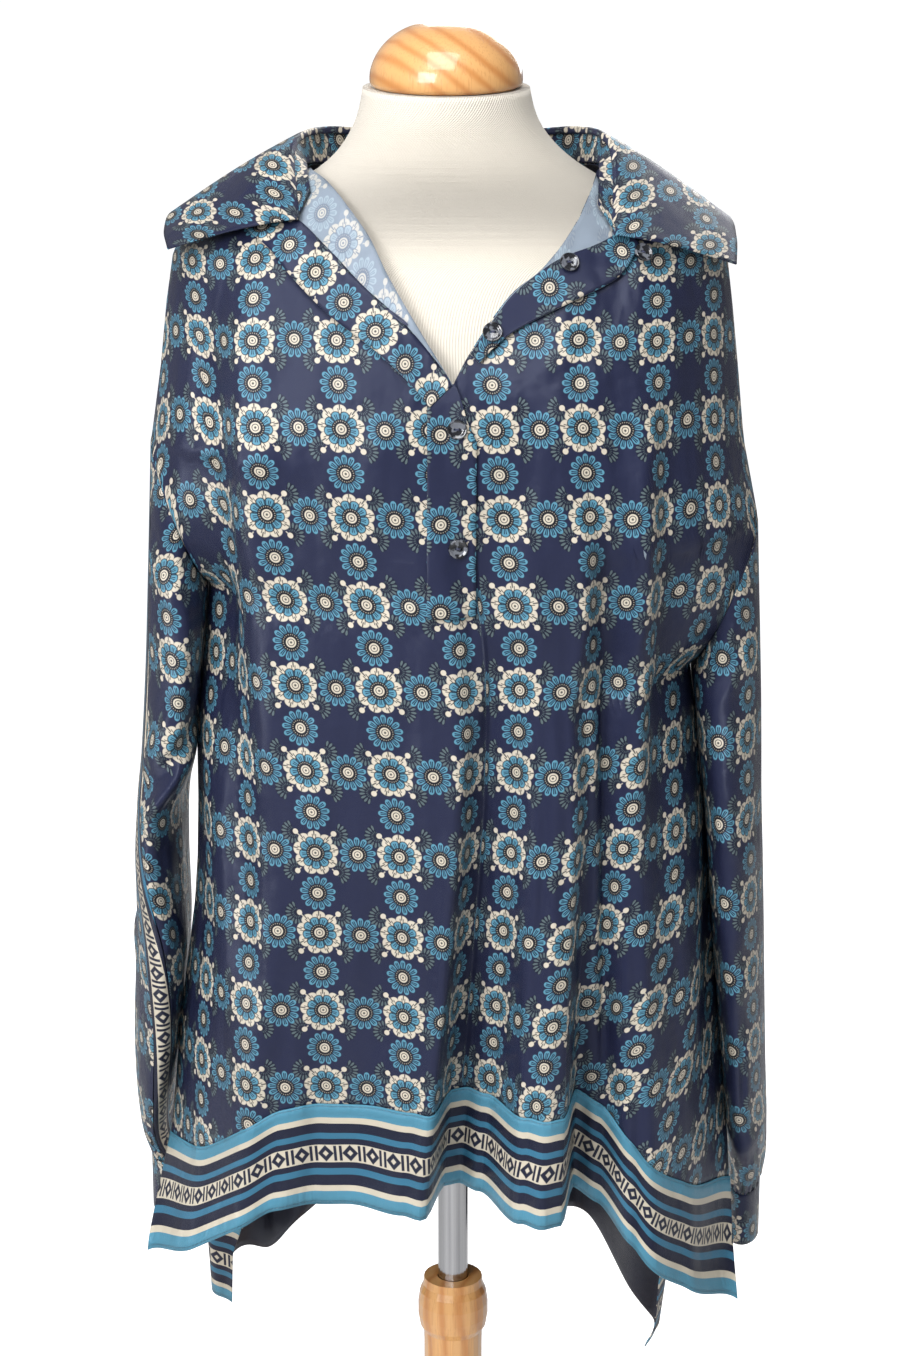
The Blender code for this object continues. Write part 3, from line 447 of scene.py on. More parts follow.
def hermite(keys: Array, values: Array, at: Array) -> Array:
    """A smooth curve through values at rising keys.

    Args:
        keys: Where the values stand.
        values: One value, or one array, for each key.
        at: Where to read.

    Returns:
        What stands at each place of at.
    """
    slopes = np.gradient(values, keys, axis=0)
    at = np.clip(at, keys[0], keys[-1])
    i = np.clip(np.searchsorted(keys, at) - 1, 0, len(keys) - 2)
    span = keys[i + 1] - keys[i]
    s = (at - keys[i]) / span
    if values.ndim > 1:
        shape = s.shape + (1,) * (values.ndim - 1)
        s, span = s.reshape(shape), span.reshape(shape)
    return (
        values[i] * (1 + 2 * s) * (1 - s) ** 2
        + span * slopes[i] * s * (1 - s) ** 2
        + values[i + 1] * s**2 * (3 - 2 * s)
        + span * slopes[i + 1] * s**2 * (s - 1)
    )


def smooth(rows: Sequence, key: str, name: str, at: Array) -> Array:
    """Reads a table's column along its key, as a smooth curve through the rows.

    Args:
        rows: The table.
        key: The column to read along.
        name: The column to read.
        at: Where on the key to read.

    Returns:
        The column's value at each place.
    """
    keys, values = column(rows, key), column(rows, name)
    if keys[0] > keys[-1]:
        keys, values = keys[::-1], values[::-1]
    return hermite(keys, values, np.asarray(at, dtype=float))


def eased(folds: Sequence[Fold], at: Array) -> Array:
    """Reads a row of folds, whose entries are the crests and troughs of waves.

    Args:
        folds: The folds across a panel.
        at: Shares of the panel's width.

    Returns:
        The push of the folds at each share.
    """
    keys, values = column(folds, "share"), column(folds, "push")
    i = np.clip(np.searchsorted(keys, at) - 1, 0, len(keys) - 2)
    s = np.clip((at - keys[i]) / (keys[i + 1] - keys[i]), 0, 1)
    return values[i] + (values[i + 1] - values[i]) * s**2 * (3 - 2 * s)


def half_width(sides: Sequence[Outline], share: Array, height: Array) -> Array:
    """The outline's half width on the side where share lies.

    Args:
        sides: The outline.
        share: Share of the width, below 0 on the left.
        height: Height over the floor.

    Returns:
        The half width at each place.
    """
    keys = -column(sides, "height")
    left, right = (np.interp(-np.asarray(height), keys, column(sides, n)) for n in ("left", "right"))
    return np.where(np.asarray(share) < 0, left, right)


def unit(ways: Array) -> Array:
    """Ways made 1 long."""
    return ways / np.maximum(np.linalg.norm(ways, axis=-1, keepdims=True), 1e-9)


def normals_of(points: Array) -> Array:
    """The normal of a grid of points at each point, from its neighbours."""
    return unit(np.cross(np.gradient(points, axis=1), np.gradient(points, axis=0)))


def crease_push(x: Array, z: Array, creases: Iterable[Crease]) -> Array:
    """How far each place is pushed out by the creases.

    Args:
        x: Sideways place, or turn on a sleeve.
        z: Height.
        creases: The ridges; each fades out towards its ends.

    Returns:
        The push along the normal, in metres.
    """
    total = np.zeros(np.shape(x))
    for c in creases:
        run = np.array([c.x1 - c.x0, c.z1 - c.z0])
        length = float(np.hypot(*run))
        run = run / length
        along = ((x - c.x0) * run[0] + (z - c.z0) * run[1]) / length
        off = (-(x - c.x0) * run[1] + (z - c.z0) * run[0]) / c.width
        fade = np.sin(math.pi * np.clip(along, 0, 1)) ** CREASE_END
        valley = VALLEY_DEPTH * np.exp(-((off - VALLEY_OFF) ** 2))
        total += c.rise * fade * (np.exp(-(off**2)) - valley)
    return total


# ---------------- the panels' surfaces
@dataclass(frozen=True)
class Panel:
    """The surface of the front or the back, read at any share of the width and any height."""

    face: int
    sides: Sequence[Outline]
    levels: Sequence[Level]
    folds: Sequence[Fold]
    slit_spread: float
    creases: Sequence[Crease]
    spread_most: float = 1.2
    spread_power: float = 1.3
    armhole_fullness: float = 0.55
    crease_margin: float = 0.04

    def side_spread(self, share: Array, height: Array) -> Array:
        """How far the side edge stands from the side line: in the armhole and in the slit.

        Args:
            share: Share of the width, which tells the side.
            height: Height over the floor.

        Returns:
            The distance at each place.
        """
        spread = np.zeros(np.broadcast(share, height).shape)
        for side in (LEFT, RIGHT):
            hole = ARMHOLES[side]
            rise = (height - hole.foot_height) / (hole.top_height - hole.foot_height)
            lens = 2 * np.sqrt(np.clip(rise * (1 - rise), 0, None)) * ARMHOLE_DEPTH
            spread = np.where(np.sign(share) == side, lens, spread)
        fall = np.clip((SLIT_TOP - height) / (SLIT_TOP - SLIT_FOOT), 0, self.spread_most)
        return spread + self.slit_spread * fall**self.spread_power + SEAM

    def depth(self, share: Array, x: Array, height: Array) -> Array:
        """How far forward or back the panel lies.

        Args:
            share: Share of the width.
            x: Sideways place.
            height: Height over the floor.

        Returns:
            y at each place seen from the front.
        """
        across = np.clip(np.abs(x) / half_width(self.sides, share, height), 0, 1)
        middle = smooth(CLOTH_DEPTH, "height", "front" if self.face == FRONT else "back", height)
        spread = self.side_spread(share, height)
        fullness = FULLNESS + self.armhole_fullness * np.clip(spread / ARMHOLE_DEPTH, 0, 1)
        level = spread + (middle - spread) * (1 - across**ROUNDNESS) ** fullness
        push = eased(self.folds, share)
        return self.face * level + push * smooth(FOLD_GAIN, "height", "share", height)

    def top_edge(self, share: Array) -> tuple[Array, Array]:
        """The panel's upper edge: the neck or the V, then the shoulder.

        Args:
            share: Shares of the width.

        Returns:
            x and height of the edge at each share.
        """
        size = np.abs(share)
        ends = []
        for side in (LEFT, RIGHT):
            edge = FRONT_EDGE[side] if self.face == FRONT else BACK_EDGE
            drop = smooth(SHOULDER[side], "share", "height", size)
            on_shoulder = size >= SHOULDER[side][0].share
            reach = half_width(FRONT_SIDES, share, drop)
            x = np.where(on_shoulder, reach, smooth(edge, "share", "x", size))
            height = np.where(on_shoulder, drop, smooth(edge, "share", "height", size))
            ends.append((side * x, height))
        left = np.asarray(share) < 0
        return np.where(left, ends[0][0], ends[1][0]), np.where(left, ends[0][1], ends[1][1])

    def x_at(self, share: Array, height: Array) -> Array:
        """Sideways place of the column of each share.

        Args:
            share: Shares of the width.
            height: Height over the floor.

        Returns:
            x at each place.
        """
        edge_x, edge_height = self.top_edge(share)
        hang = share * half_width(self.sides, share, height)
        start = share * half_width(self.sides, share, edge_height)
        fade = np.clip(1 - (edge_height - height) / SHOULDER_BLEND, 0, 1) ** 2
        lean = smooth(FOLD_GAIN, "height", "lean", height) * (1 - share**2) ** 2
        return hang + (edge_x - start) * fade + lean

    def points(self, share: Array, height: Array) -> Array:
        """The surface with its creases.

        Args:
            share: Shares of the width.
            height: Heights over the floor.

        Returns:
            A point for each share and height.
        """
        x = self.x_at(share, height)
        y = self.depth(share, x, height)
        inside = np.clip((1 - np.abs(share)) / self.crease_margin, 0, 1)
        push = crease_push(x, height, self.creases) * inside
        out = unit(np.stack([x / HALF_WIDE**2, y / HALF_DEEP**2], axis=-1))
        return np.stack([x + out[..., 0] * push, y + out[..., 1] * push, height + 0 * x], axis=-1)

    def heights(self, shares: Array, steps: Sequence[int]) -> Array:
        """Heights of the rows from the upper edge down to the band's seam.

        Args:
            shares: The columns.
            steps: How many rows lie in the armhole, the side and the slit stretch.

        Returns:
            One row of heights for each row of the grid.
        """
        top = self.top_edge(shares)[1]
        lapel, slit, hem = (smooth(self.levels, "share", n, shares) for n in ("lapel", "slit", "hem"))
        armhole = (1 - np.cos(math.pi * np.arange(steps[0]) / steps[0])) / 2
        stretches = (
            (top, lapel, armhole),
            (lapel, slit, np.arange(steps[1]) / steps[1]),
            (slit, hem + BAND - UNDER_BAND, np.linspace(0, 1, steps[2])),
        )
        return np.array([start + (end - start) * part for start, end, parts in stretches for part in parts])


FRONT_PANEL = Panel(FRONT, FRONT_SIDES, FRONT_LEVELS, FRONT_FOLDS, 0.100, FRONT_CREASES)
BACK_PANEL = Panel(BACK, BACK_SIDES, BACK_LEVELS, BACK_FOLDS, 0.070, BACK_CREASES)


def front_at(x: float, height: float) -> Array:
    """The front's point that shows at a place seen from the front.

    Args:
        x: Sideways place.
        height: Height over the floor.

    Returns:
        The point.
    """
    shares = np.linspace(-1, 1, 241)
    places = np.maximum.accumulate(FRONT_PANEL.x_at(shares, np.full_like(shares, height)))
    share = np.interp(x, places, shares)
    push = float(crease_push(np.array(x), np.array(height), FRONT_PANEL.creases))
    return np.array([x, float(FRONT_PANEL.depth(share, x, height)) - push, height])


def on_front(x: float, height: float, proud: float, step: float = 0.003) -> tuple[Array, Array]:
    """A place on the front moved out from the cloth.

    Args:
        x: Sideways place.
        height: Height over the floor.
        proud: How far it stands out.
        step: How far off its neighbours are read.

    Returns:
        The point and its outward way.
    """
    across = front_at(x + step, height) - front_at(x - step, height)
    up = front_at(x, height + step) - front_at(x, height - step)
    out = np.cross(across, up)
    out /= np.linalg.norm(out)
    return front_at(x, height) + out * proud, out


# ---------------- meshes
def grid_mesh(name: str, points: Array, uv: Array, closed: bool, flip: bool) -> Mesh:
    """A mesh of quads through a grid of points.

    Args:
        name: The mesh's name.
        points: Rows of points.
        uv: Rows of cloth places in metres, with one more column than points if closed.
        closed: Whether the last column joins the first.
        flip: Whether the faces look the other way.

    Returns:
        The mesh, smooth, with its UV map named "cloth".
    """
    rows, cols = points.shape[:2]
    wide = cols if closed else cols - 1
    i, j = (a.ravel() for a in np.meshgrid(np.arange(rows - 1), np.arange(wide), indexing="ij"))
    k = (j + 1) % cols
    quads = np.stack([i * cols + j, (i + 1) * cols + j, (i + 1) * cols + k, i * cols + k], axis=1)
    places = np.stack([uv[i, j], uv[i + 1, j], uv[i + 1, j + 1], uv[i, j + 1]], axis=1)
    if flip:
        quads, places = quads[:, ::-1], places[:, ::-1]
    mesh = bpy.data.meshes.new(name)
    mesh.vertices.add(rows * cols)
    mesh.vertices.foreach_set("co", points.reshape(-1).astype(np.float32))
    mesh.loops.add(quads.size)
    mesh.loops.foreach_set("vertex_index", quads.reshape(-1).astype(np.int32))
    mesh.polygons.add(len(quads))
    mesh.polygons.foreach_set("loop_start", np.arange(0, quads.size, 4, dtype=np.int32))
    mesh.update(calc_edges=True)
    layer = mesh.uv_layers.new(name="cloth")
    layer.data.foreach_set("uv", places.reshape(-1).astype(np.float32))
    mesh.validate()
    mesh.shade_smooth()
    return mesh


def net_mesh(name: str, net: bmesh.types.BMesh, sharp_from: Optional[float] = None) -> Mesh:
    """Turns a net of faces into a smooth mesh and frees the net.

    Args:
        name: The mesh's name.
        net: The net.
        sharp_from: Edges that turn by more than this many degrees stay sharp.

    Returns:
        The mesh.
    """
    mesh = bpy.data.meshes.new(name)
    net.to_mesh(mesh)
    net.free()
    mesh.shade_smooth()
    if sharp_from is not None:
        mesh.set_sharp_from_angle(angle=math.radians(sharp_from))
    return mesh


def turned_net(profile: Iterable[Sequence[float]], sides: int) -> bmesh.types.BMesh:
    """Carries a profile once round the axis.

    Args:
        profile: Radius and height pairs.
        sides: How many steps go round.

    Returns:
        The net of faces.
    """
    net = bmesh.new()
    line = [net.verts.new((radius, 0, height)) for radius, height in profile]
    edges = [net.edges.new(pair) for pair in zip(line, line[1:])]
    up, origin = (0, 0, 1), (0, 0, 0)
    bmesh.ops.spin(net, geom=line + edges, axis=up, cent=origin, steps=sides, angle=2 * math.pi)
    bmesh.ops.remove_doubles(net, verts=net.verts, dist=1e-6)
    return net


def lathe(name: str, profile: Sequence[tuple], sides: int, between: int = 4) -> Mesh:
    """A turned shape from a profile that is rounded a little.

    Args:
        name: The mesh's name.
        profile: Radius and height pairs, from the top down the outer side.
        sides: How many steps go round.
        between: How many steps go between two profile points.

    Returns:
        A closed mesh with a sharp edge wherever the profile turns sharply.
    """
    knots = np.array(profile, dtype=float)
    run = np.concatenate([[0], np.cumsum(np.linalg.norm(np.diff(knots, axis=0), axis=1))])
    steps = [np.linspace(a, b, between + 1) for a, b in zip(run, run[1:])]
    fine = hermite(run, knots, np.unique(np.concatenate(steps)))
    fine[:, 0] = np.clip(fine[:, 0], 0, None)
    net = turned_net(fine, sides)
    bmesh.ops.holes_fill(net, edges=[e for e in net.edges if e.is_boundary], sides=0)
    bmesh.ops.recalc_face_normals(net, faces=net.faces)
    return net_mesh(name, net, sharp_from=38)


def arc_along(points: Array, axis: int, parts: Sequence[int] = (0, 1, 2)) -> Array:
    """Running length along the rows or columns of a grid, from its first.

    Args:
        points: The grid.
        axis: 0 down the columns, 1 along the rows.
        parts: Which of x, y and z count.

    Returns:
        The length at each point.
    """
    steps = np.linalg.norm(np.diff(points[..., list(parts)], axis=axis), axis=-1)
    start = np.zeros_like(np.take(steps, [0], axis=axis))
    return np.cumsum(np.concatenate([start, steps], axis=axis), axis=axis)


def from_column(u: Array, at: int) -> Array:
    """Sideways places measured from one column."""
    return u - u[:, [at]]


def closed_row(points: Array) -> Array:
    """A tube's grid with its first column repeated at the end."""
    return np.concatenate([points, points[:, :1]], axis=1)


def panel_uv(panel: Panel, shares: Array, points: Array, level: float) -> Array:
    """Cloth places of a hanging panel: sideways from its middle column, upwards from a height.

    Args:
        panel: The panel.
        shares: Its columns.
        points: Its grid.
        level: The height at which the upward place equals the height.

    Returns:
        The cloth place of each point, in metres.
    """
    heights = points[..., 2]
    levels = np.linspace(heights.min(), heights.max(), 120)
    girths = panel.points(np.broadcast_to(shares, (len(levels), len(shares))), levels[:, None])
    u = from_column(arc_along(girths, 1, (0, 1)), middle_of(shares))
    down = arc_along(points, 0, (1, 2))
    places = np.empty((*down.shape, 2))
    for j in range(len(shares)):
        places[:, j, 0] = np.interp(heights[:, j], levels, u[:, j])
        places[:, j, 1] = level + np.interp(-level, -heights[:, j], down[:, j]) - down[:, j]
    return places


def flat_area(points: Array) -> float:
    """The area of a grid of points, in square metres.

    Args:
        points: The grid.

    Returns:
        The sum of its triangles.
    """
    a, b = points[1:, :-1] - points[:-1, :-1], points[:-1, 1:] - points[:-1, :-1]
    c, d = points[1:, :-1] - points[1:, 1:], points[:-1, 1:] - points[1:, 1:]
    halves = np.linalg.norm(np.cross(a, b), axis=-1) + np.linalg.norm(np.cross(c, d), axis=-1)
    return float(halves.sum() / 2)


def middle_of(shares: Array) -> int:
    """The number of the column that is nearest the middle."""
    return int(np.argmin(np.abs(shares)))


def fine_shares(count: int, pull: float = 1.25) -> Array:
    """Columns across a panel, closer together near its sides, with the middle kept.

    Args:
        count: How many there are.
        pull: How strongly they crowd towards the sides.

    Returns:
        Shares from -1 to 1.
    """
    even = np.linspace(-1, 1, count)
    pulled = np.sign(even) * (1 - (1 - np.abs(even)) ** pull)
    return np.unique(np.round(np.append(pulled, 0.0), 5))


# ---------------- shader wiring
def feed(tree: bpy.types.NodeTree, socket: Socket, value: object) -> None:
    """Gives an input socket what it takes.

    Args:
        tree: The node tree.
        socket: The input.
        value: A wire, an output socket, a colour or a number.
    """
    if isinstance(value, Wire):
        value = value.socket
    if isinstance(value, Socket):
        tree.links.new(value, socket)
    elif socket.type == "RGBA":
        socket.default_value = (*value[:3], 1)
    else:
        socket.default_value = value


class Wire:
    """A number on its way between shader nodes, with arithmetic."""

    def __init__(self, tree: bpy.types.NodeTree, socket: Socket) -> None:
        """Holds the socket that the number comes out of."""
        self.tree, self.socket = tree, socket

    def math(self, kind: str, *others: Wire | float, clamp: bool = False) -> Wire:
        """Sends the number through one Math node.

        Args:
            kind: The node's operation.
            others: Its other inputs.
            clamp: Whether the result stays from 0 to 1.

        Returns:
            The node's result.
        """
        node = self.tree.nodes.new("ShaderNodeMath")
        node.operation, node.use_clamp = kind, clamp
        for socket, value in zip(node.inputs, (self, *others)):
            feed(self.tree, socket, value)
        return Wire(self.tree, node.outputs[0])

    def __add__(self, other: Wire | float) -> Wire:
        """The sum."""
        return self.math("ADD", other)

    def __sub__(self, other: Wire | float) -> Wire:
        """The difference."""
        return self.math("SUBTRACT", other)

    def __mul__(self, other: Wire | float) -> Wire:
        """The product."""
        return self.math("MULTIPLY", other)

    def __truediv__(self, other: Wire | float) -> Wire:
        """The quotient."""
        return self.math("DIVIDE", other)

    def __abs__(self) -> Wire:
        """The size without its sign."""
        return self.math("ABSOLUTE")

    def phase(self, length: float) -> Wire:
        """The angle of a wave of this length."""
        return self * (2 * math.pi / length)

    def below(self, edge: float, blur: float) -> Wire:
        """1 where the number is under the edge, 0 where it is over, soft across blur."""
        return (self * (-1 / blur)).math("ADD", edge / blur + 0.5, clamp=True)

    def wrapped(self, pitch: float) -> Wire:
        """The number folded into one repeat, centred on 0."""
        return self.math("WRAP", pitch / 2, -pitch / 2)

    def either(self, other: Wire) -> Wire:
        """The larger of two masks."""
        return self.math("MAXIMUM", other)

    def reach(self, other: Wire) -> Wire:
        """Distance from 0 of a place with this and the other coordinate."""
        return (self * self + other * other).math("SQRT")

    def turn(self, other: Wire) -> Wire:
        """Share of a whole turn at which a place with these coordinates lies."""
        return self.math("ARCTAN2", other) / (2 * math.pi)


class Painter:
    """Adds nodes to one tree, and puts colours on top of each other."""

    def __init__(self, tree: bpy.types.NodeTree) -> None:
        """Keeps the tree that it adds to."""
        self.tree = tree

    def feed_all(self, node: bpy.types.Node, inputs: dict) -> None:
        """Gives several inputs of a node what they take."""
        for key, value in inputs.items():
            feed(self.tree, node.inputs[key], value)

    def node(self, kind: str, inputs: Optional[dict] = None, **values: object) -> bpy.types.Node:
        """Adds a node.

        Args:
            kind: The node's type.
            inputs: What its inputs take, by name or number.
            values: Its properties.

        Returns:
            The node.
        """
        made = self.tree.nodes.new(kind)
        for name, value in values.items():
            setattr(made, name, value)
        self.feed_all(made, inputs or {})
        return made

    def number(self, kind: str, output: str | int = 0, **values: object) -> Wire:
        """Adds a node and picks up one of its outputs as a number."""
        return Wire(self.tree, self.node(kind, **values).outputs[output])

    def over(self, under: object, colour: object, mask: Wire | float) -> Socket:
        """One colour over another where the mask is 1."""
        return self.node("ShaderNodeMix", {0: mask, 6: under, 7: colour}, data_type="RGBA").outputs[2]

    def stack(self, colour: object, *layers: tuple[object, Wire | float]) -> Socket:
        """Colours over each other."""
        return reduce(lambda under, layer: self.over(under, *layer), layers, colour)

    def cloth_place(self) -> tuple[Wire, Wire]:
        """Sideways and upward place on the flat cloth.

        Returns:
            Both places in millimetres.
        """
        uv = self.node("ShaderNodeUVMap", uv_map="cloth")
        split = self.node("ShaderNodeSeparateXYZ", {0: uv.outputs[0]})
        across, up = (Wire(self.tree, split.outputs[part]) * 1000 for part in (0, 1))
        return across, up

    def noise(self, scale: float, detail: float = 2.0, stretch: Optional[tuple] = None) -> Wire:
        """Noise in the piece's own space.

        Args:
            scale: How many waves fit in a metre.
            detail: How many finer layers it has.
            stretch: Factors for x, y and z.

        Returns:
            A number from 0 to 1.
        """
        coords = self.node("ShaderNodeTexCoord").outputs["Object"]
        if stretch:
            coords = self.node("ShaderNodeMapping", {"Scale": stretch, "Vector": coords}).outputs[0]
        inputs = {"Scale": scale, "Detail": detail, "Vector": coords}
        return self.number("ShaderNodeTexNoise", inputs=inputs)


def srgb(red: int, green: int, blue: int) -> Colour:
    """A colour given in sRGB steps.

    Args:
        red: Its red, 0 to 255.
        green: Its green.
        blue: Its blue.

    Returns:
        The same colour as linear light.
    """
    shares = (value / 255 for value in (red, green, blue))
    return tuple(s / 12.92 if s <= 0.04045 else ((s + 0.055) / 1.055) ** 2.4 for s in shares)


# ---------------- the flower print
@dataclass(frozen=True)
class PrintColours:
    """The colours of the flower print as one side of the cloth shows them."""

    ground: Colour
    petal: Colour
    petal_root: Colour
    cream: Colour
    ring: Colour
    sprig: Colour


RIGHT_SIDE = PrintColours(
    ground=srgb(37, 41, 67), petal=srgb(94, 150, 174), petal_root=srgb(24, 48, 70),
    cream=srgb(214, 205, 188), ring=srgb(18, 19, 28), sprig=srgb(104, 120, 122),
)
WRONG_SIDE = PrintColours(
    ground=srgb(140, 152, 166), petal=srgb(160, 176, 188), petal_root=srgb(140, 154, 168),
    cream=srgb(196, 194, 188), ring=srgb(120, 132, 148), sprig=srgb(150, 160, 170),
)


@dataclass(frozen=True)
class Petals:
    """A ring of rounded petals, in millimetres, with plump as a share of the room for each."""

    count: int
    inner: float
    outer: float
    plump: float
    blur: float = 0.28

    def mask(self, radius: Wire, turn: Wire) -> Wire:
        """Where the petals are.

        Args:
            radius: Distance from the flower's middle.
            turn: Share of a turn round it.

        Returns:
            The mask.
        """
        along = (radius - (self.inner + self.outer) / 2) / ((self.outer - self.inner) / 2)
        off = (turn * self.count).wrapped(1.0) / self.plump
        return (along * along + off * off).below(1.0, self.blur)


@dataclass(frozen=True)
class Veins:
    """Lines in the petals: how many, how far beside the middle, how wide and how far out."""

    count: int
    beside: float
    wide: float
    blur: float
    end: float

    def mask(self, radius: Wire, turn: Wire) -> Wire:
        """Where the lines are, as for Petals."""
        line = abs(abs((turn * self.count).wrapped(1.0)) - self.beside).below(self.wide, self.blur)
        return line * radius.below(self.end, 0.4)


@dataclass(frozen=True)
class FlowerLattice:
    """The common small-flower repeat: big and small daisies on a square lattice, in millimetres."""

    painter: Painter
    colours: PrintColours
    pitch: float = 57.2
    first_u: float = -16.6
    first_v: float = 1185.0
    dot_at: tuple[float, float] = (13.2, 13.8)
    dot_radius: float = 1.9
    stalk_half: float = 0.6
    stalk_length: float = 5.2
    fan_beyond: tuple[float, float] = (1.6, -0.4)
    fan_from: float = -1.2
    fan_radius: float = 8.3
    fan: Petals = Petals(17, 4.4, 8.2, 0.30)
    leaves: Petals = Petals(17, 2.2, 3.9, 0.22)
    cream_petals: Petals = Petals(9, 8.6, 15.6, 0.50)
    notch_half: float = 0.045
    notch_from: float = 12.2
    hooks: Veins = Veins(9, 0.13, 0.035, 0.03, 13.4)
    blue_petals: Petals = Petals(9, 4.8, 11.2, 0.46)
    blue_edge: Petals = Petals(9, 4.8, 11.7, 0.56)
    blue_veins: Veins = Veins(18, 0.2, 0.10, 0.06, 9.6)
    small_petals: Petals = Petals(13, 5.6, 12.3, 0.41)
    small_veins: Veins = Veins(13, 0.12, 0.08, 0.05, 10.8)
    beads: Petals = Petals(22, 4.75, 5.65, 0.27, 0.6)
    ring_radius: float = 6.3
    eye_radius: float = 3.5
    eye_line: float = 2.2
    eye_dot: float = 0.8

    def paint(self, u: Wire, v: Wire) -> Socket:
        """Builds the print.

        Args:
            u: Sideways place in millimetres.
            v: Upward place in millimetres.

        Returns:
            The colour's socket.
        """
        across, up = (u - self.first_u).wrapped(self.pitch), (v - self.first_v).wrapped(self.pitch)
        colour = self.sprigs(across, up)
        colour = self.big_flower(colour, across.reach(up), across.turn(up))
        for half_u, half_v in ((self.pitch / 2, 0.0), (0.0, self.pitch / 2)):
            side = (u - (self.first_u + half_u)).wrapped(self.pitch)
            rise = (v - (self.first_v + half_v)).wrapped(self.pitch)
            radius, turn = side.reach(rise), side.turn(rise)
            ring = self.small_petals.mask(radius, turn)
            veins = self.small_veins.mask(radius, turn) * ring
            petals = (self.colours.petal, ring), (self.colours.petal_root, veins)
            colour = self.painter.stack(colour, *petals)
            colour = self.eye(colour, radius, turn)
        return colour

    def sprigs(self, across: Wire, up: Wire) -> Socket:
        """The ground with dots on stalks towards the diagonals, and a fan of strokes beyond each.

        Args:
            across: Sideways place from the big flower's middle.
            up: Upward place from it.

        Returns:
            The colour's socket.
        """
        side, rise = abs(across) - self.dot_at[0], abs(up) - self.dot_at[1]
        fan_side, fan_rise = side - self.fan_beyond[0], rise - self.fan_beyond[1]
        radius, turn = fan_side.reach(fan_rise), fan_side.turn(fan_rise)
        outward = (fan_side - fan_rise * 0.4).math("GREATER_THAN", self.fan_from)
        fan, leaves = (petals.mask(radius, turn) * outward for petals in (self.fan, self.leaves))
        stalk = abs(side - rise).below(self.stalk_half, 0.4) * (side + rise).below(0.0, 0.5)
        stalk = stalk * ((side + rise) * -1.0).below(self.stalk_length, 0.5)
        return self.painter.stack(
            self.colours.ground,
            (self.colours.ring, radius.below(self.fan_radius, 0.8) * outward * 0.55),
            (self.colours.sprig, fan * 0.75),
            (self.colours.sprig, leaves * 0.55),
            (self.colours.cream, side.reach(rise).below(self.dot_radius, 0.4)),
            (self.colours.cream, stalk * 0.7),
        )

    def big_flower(self, under: Socket, radius: Wire, turn: Wire) -> Socket:
        """Notched cream petals round blue ones.

        Args:
            under: What lies under it.
            radius: Distance from the flower's middle.
            turn: Share of a turn round it.

        Returns:
            The colour's socket.
        """
        pairs = self.cream_petals.mask(radius, turn)
        notch = abs((turn * self.cream_petals.count).wrapped(1.0)).below(self.notch_half, 0.035)
        notch = notch * (radius * -1.0).below(-self.notch_from, 0.4)
        between = turn + 0.5 / self.blue_petals.count
        blue = self.blue_petals.mask(radius, between)
        colour = self.painter.stack(
            under,
            (self.colours.cream, pairs),
            (self.colours.ring, notch.either(self.hooks.mask(radius, turn)) * pairs * 0.85),
            (self.colours.ring, self.blue_edge.mask(radius, between)),
            (self.colours.petal, blue),
            (self.colours.petal_root, self.blue_veins.mask(radius, turn) * blue),
        )
        return self.eye(colour, radius, turn)

    def eye(self, under: Socket, radius: Wire, turn: Wire) -> Socket:
        """Paints a flower's dark ring, beads and cream eye with its line and dot.

        Args:
            under: What lies under it.
            radius: Distance from the flower's middle.
            turn: Share of a turn round it.

        Returns:
            The colour's socket.
        """
        line = abs(radius - self.eye_line).below(0.3, 0.3)
        return self.painter.stack(
            under,
            (self.colours.ring, radius.below(self.ring_radius, 0.4)),
            (self.colours.cream, self.beads.mask(radius, turn) * 0.42),
            (self.colours.cream, radius.below(self.eye_radius, 0.4)),
            (self.colours.ring, line.either(radius.below(self.eye_dot, 0.3)) * 0.85),
        )


# ---------------- the striped border
class Stripe(NamedTuple):
    """One stripe of the border: where it starts, as a share of the width, and its colour."""

    start: float
    colour: Colour


LIGHT_BLUE, NAVY = srgb(84, 146, 172), srgb(32, 35, 54)
MID_BLUE, BORDER_CREAM = srgb(60, 118, 148), srgb(212, 203, 184)
BORDER = table(
    Stripe,
    (0.0, LIGHT_BLUE), (0.132, BORDER_CREAM), (0.19, NAVY), (0.284, MID_BLUE), (0.342, NAVY),
    (0.4, BORDER_CREAM), (0.576, NAVY), (0.633, MID_BLUE), (0.7, NAVY), (0.806, BORDER_CREAM),
    (0.866, LIGHT_BLUE),
)


def stitch_row(place: Wire, along: Wire, at: float, stitch: float = 2.6) -> Wire:
    """A row of short stitches at one distance from an edge, in millimetres.

    Args:
        place: Distance from the edge.
        along: Place along it.
        at: Where the row lies.
        stitch: Length of one stitch with its gap.

    Returns:
        The mask.
    """
    return abs(place - at).below(0.35, 0.3) * abs(along.wrapped(stitch)).below(stitch * 0.36, 0.3)


# ---------------- the finishes
class Surface(NamedTuple):
    """What a shader takes: its inputs, its relief, and the relief's depth in metres."""

    inputs: dict[str, object]
    relief: Optional[Wire] = None
    depth: float = 0.0


@dataclass(frozen=True)
class Finish:
    """The finish of a surface; each kind below lays out its own shader."""

    name: str

    def surface(self, painter: Painter) -> Surface:
        """What this kind of finish gives its shader."""
        raise NotImplementedError

    def material(self) -> bpy.types.Material:
        """Makes the material.

        Returns:
            The material, with its relief as a bump.
        """
        made = bpy.data.materials.new(self.name)
        made.use_nodes = True
        painter = Painter(made.node_tree)
        inputs, relief, depth = self.surface(painter)
        if relief is not None:
            bump = {"Strength": 1.0, "Distance": depth, "Height": relief}
            inputs["Normal"] = painter.node("ShaderNodeBump", bump).outputs[0]
        painter.feed_all(made.node_tree.nodes["Principled BSDF"], inputs)
        return made


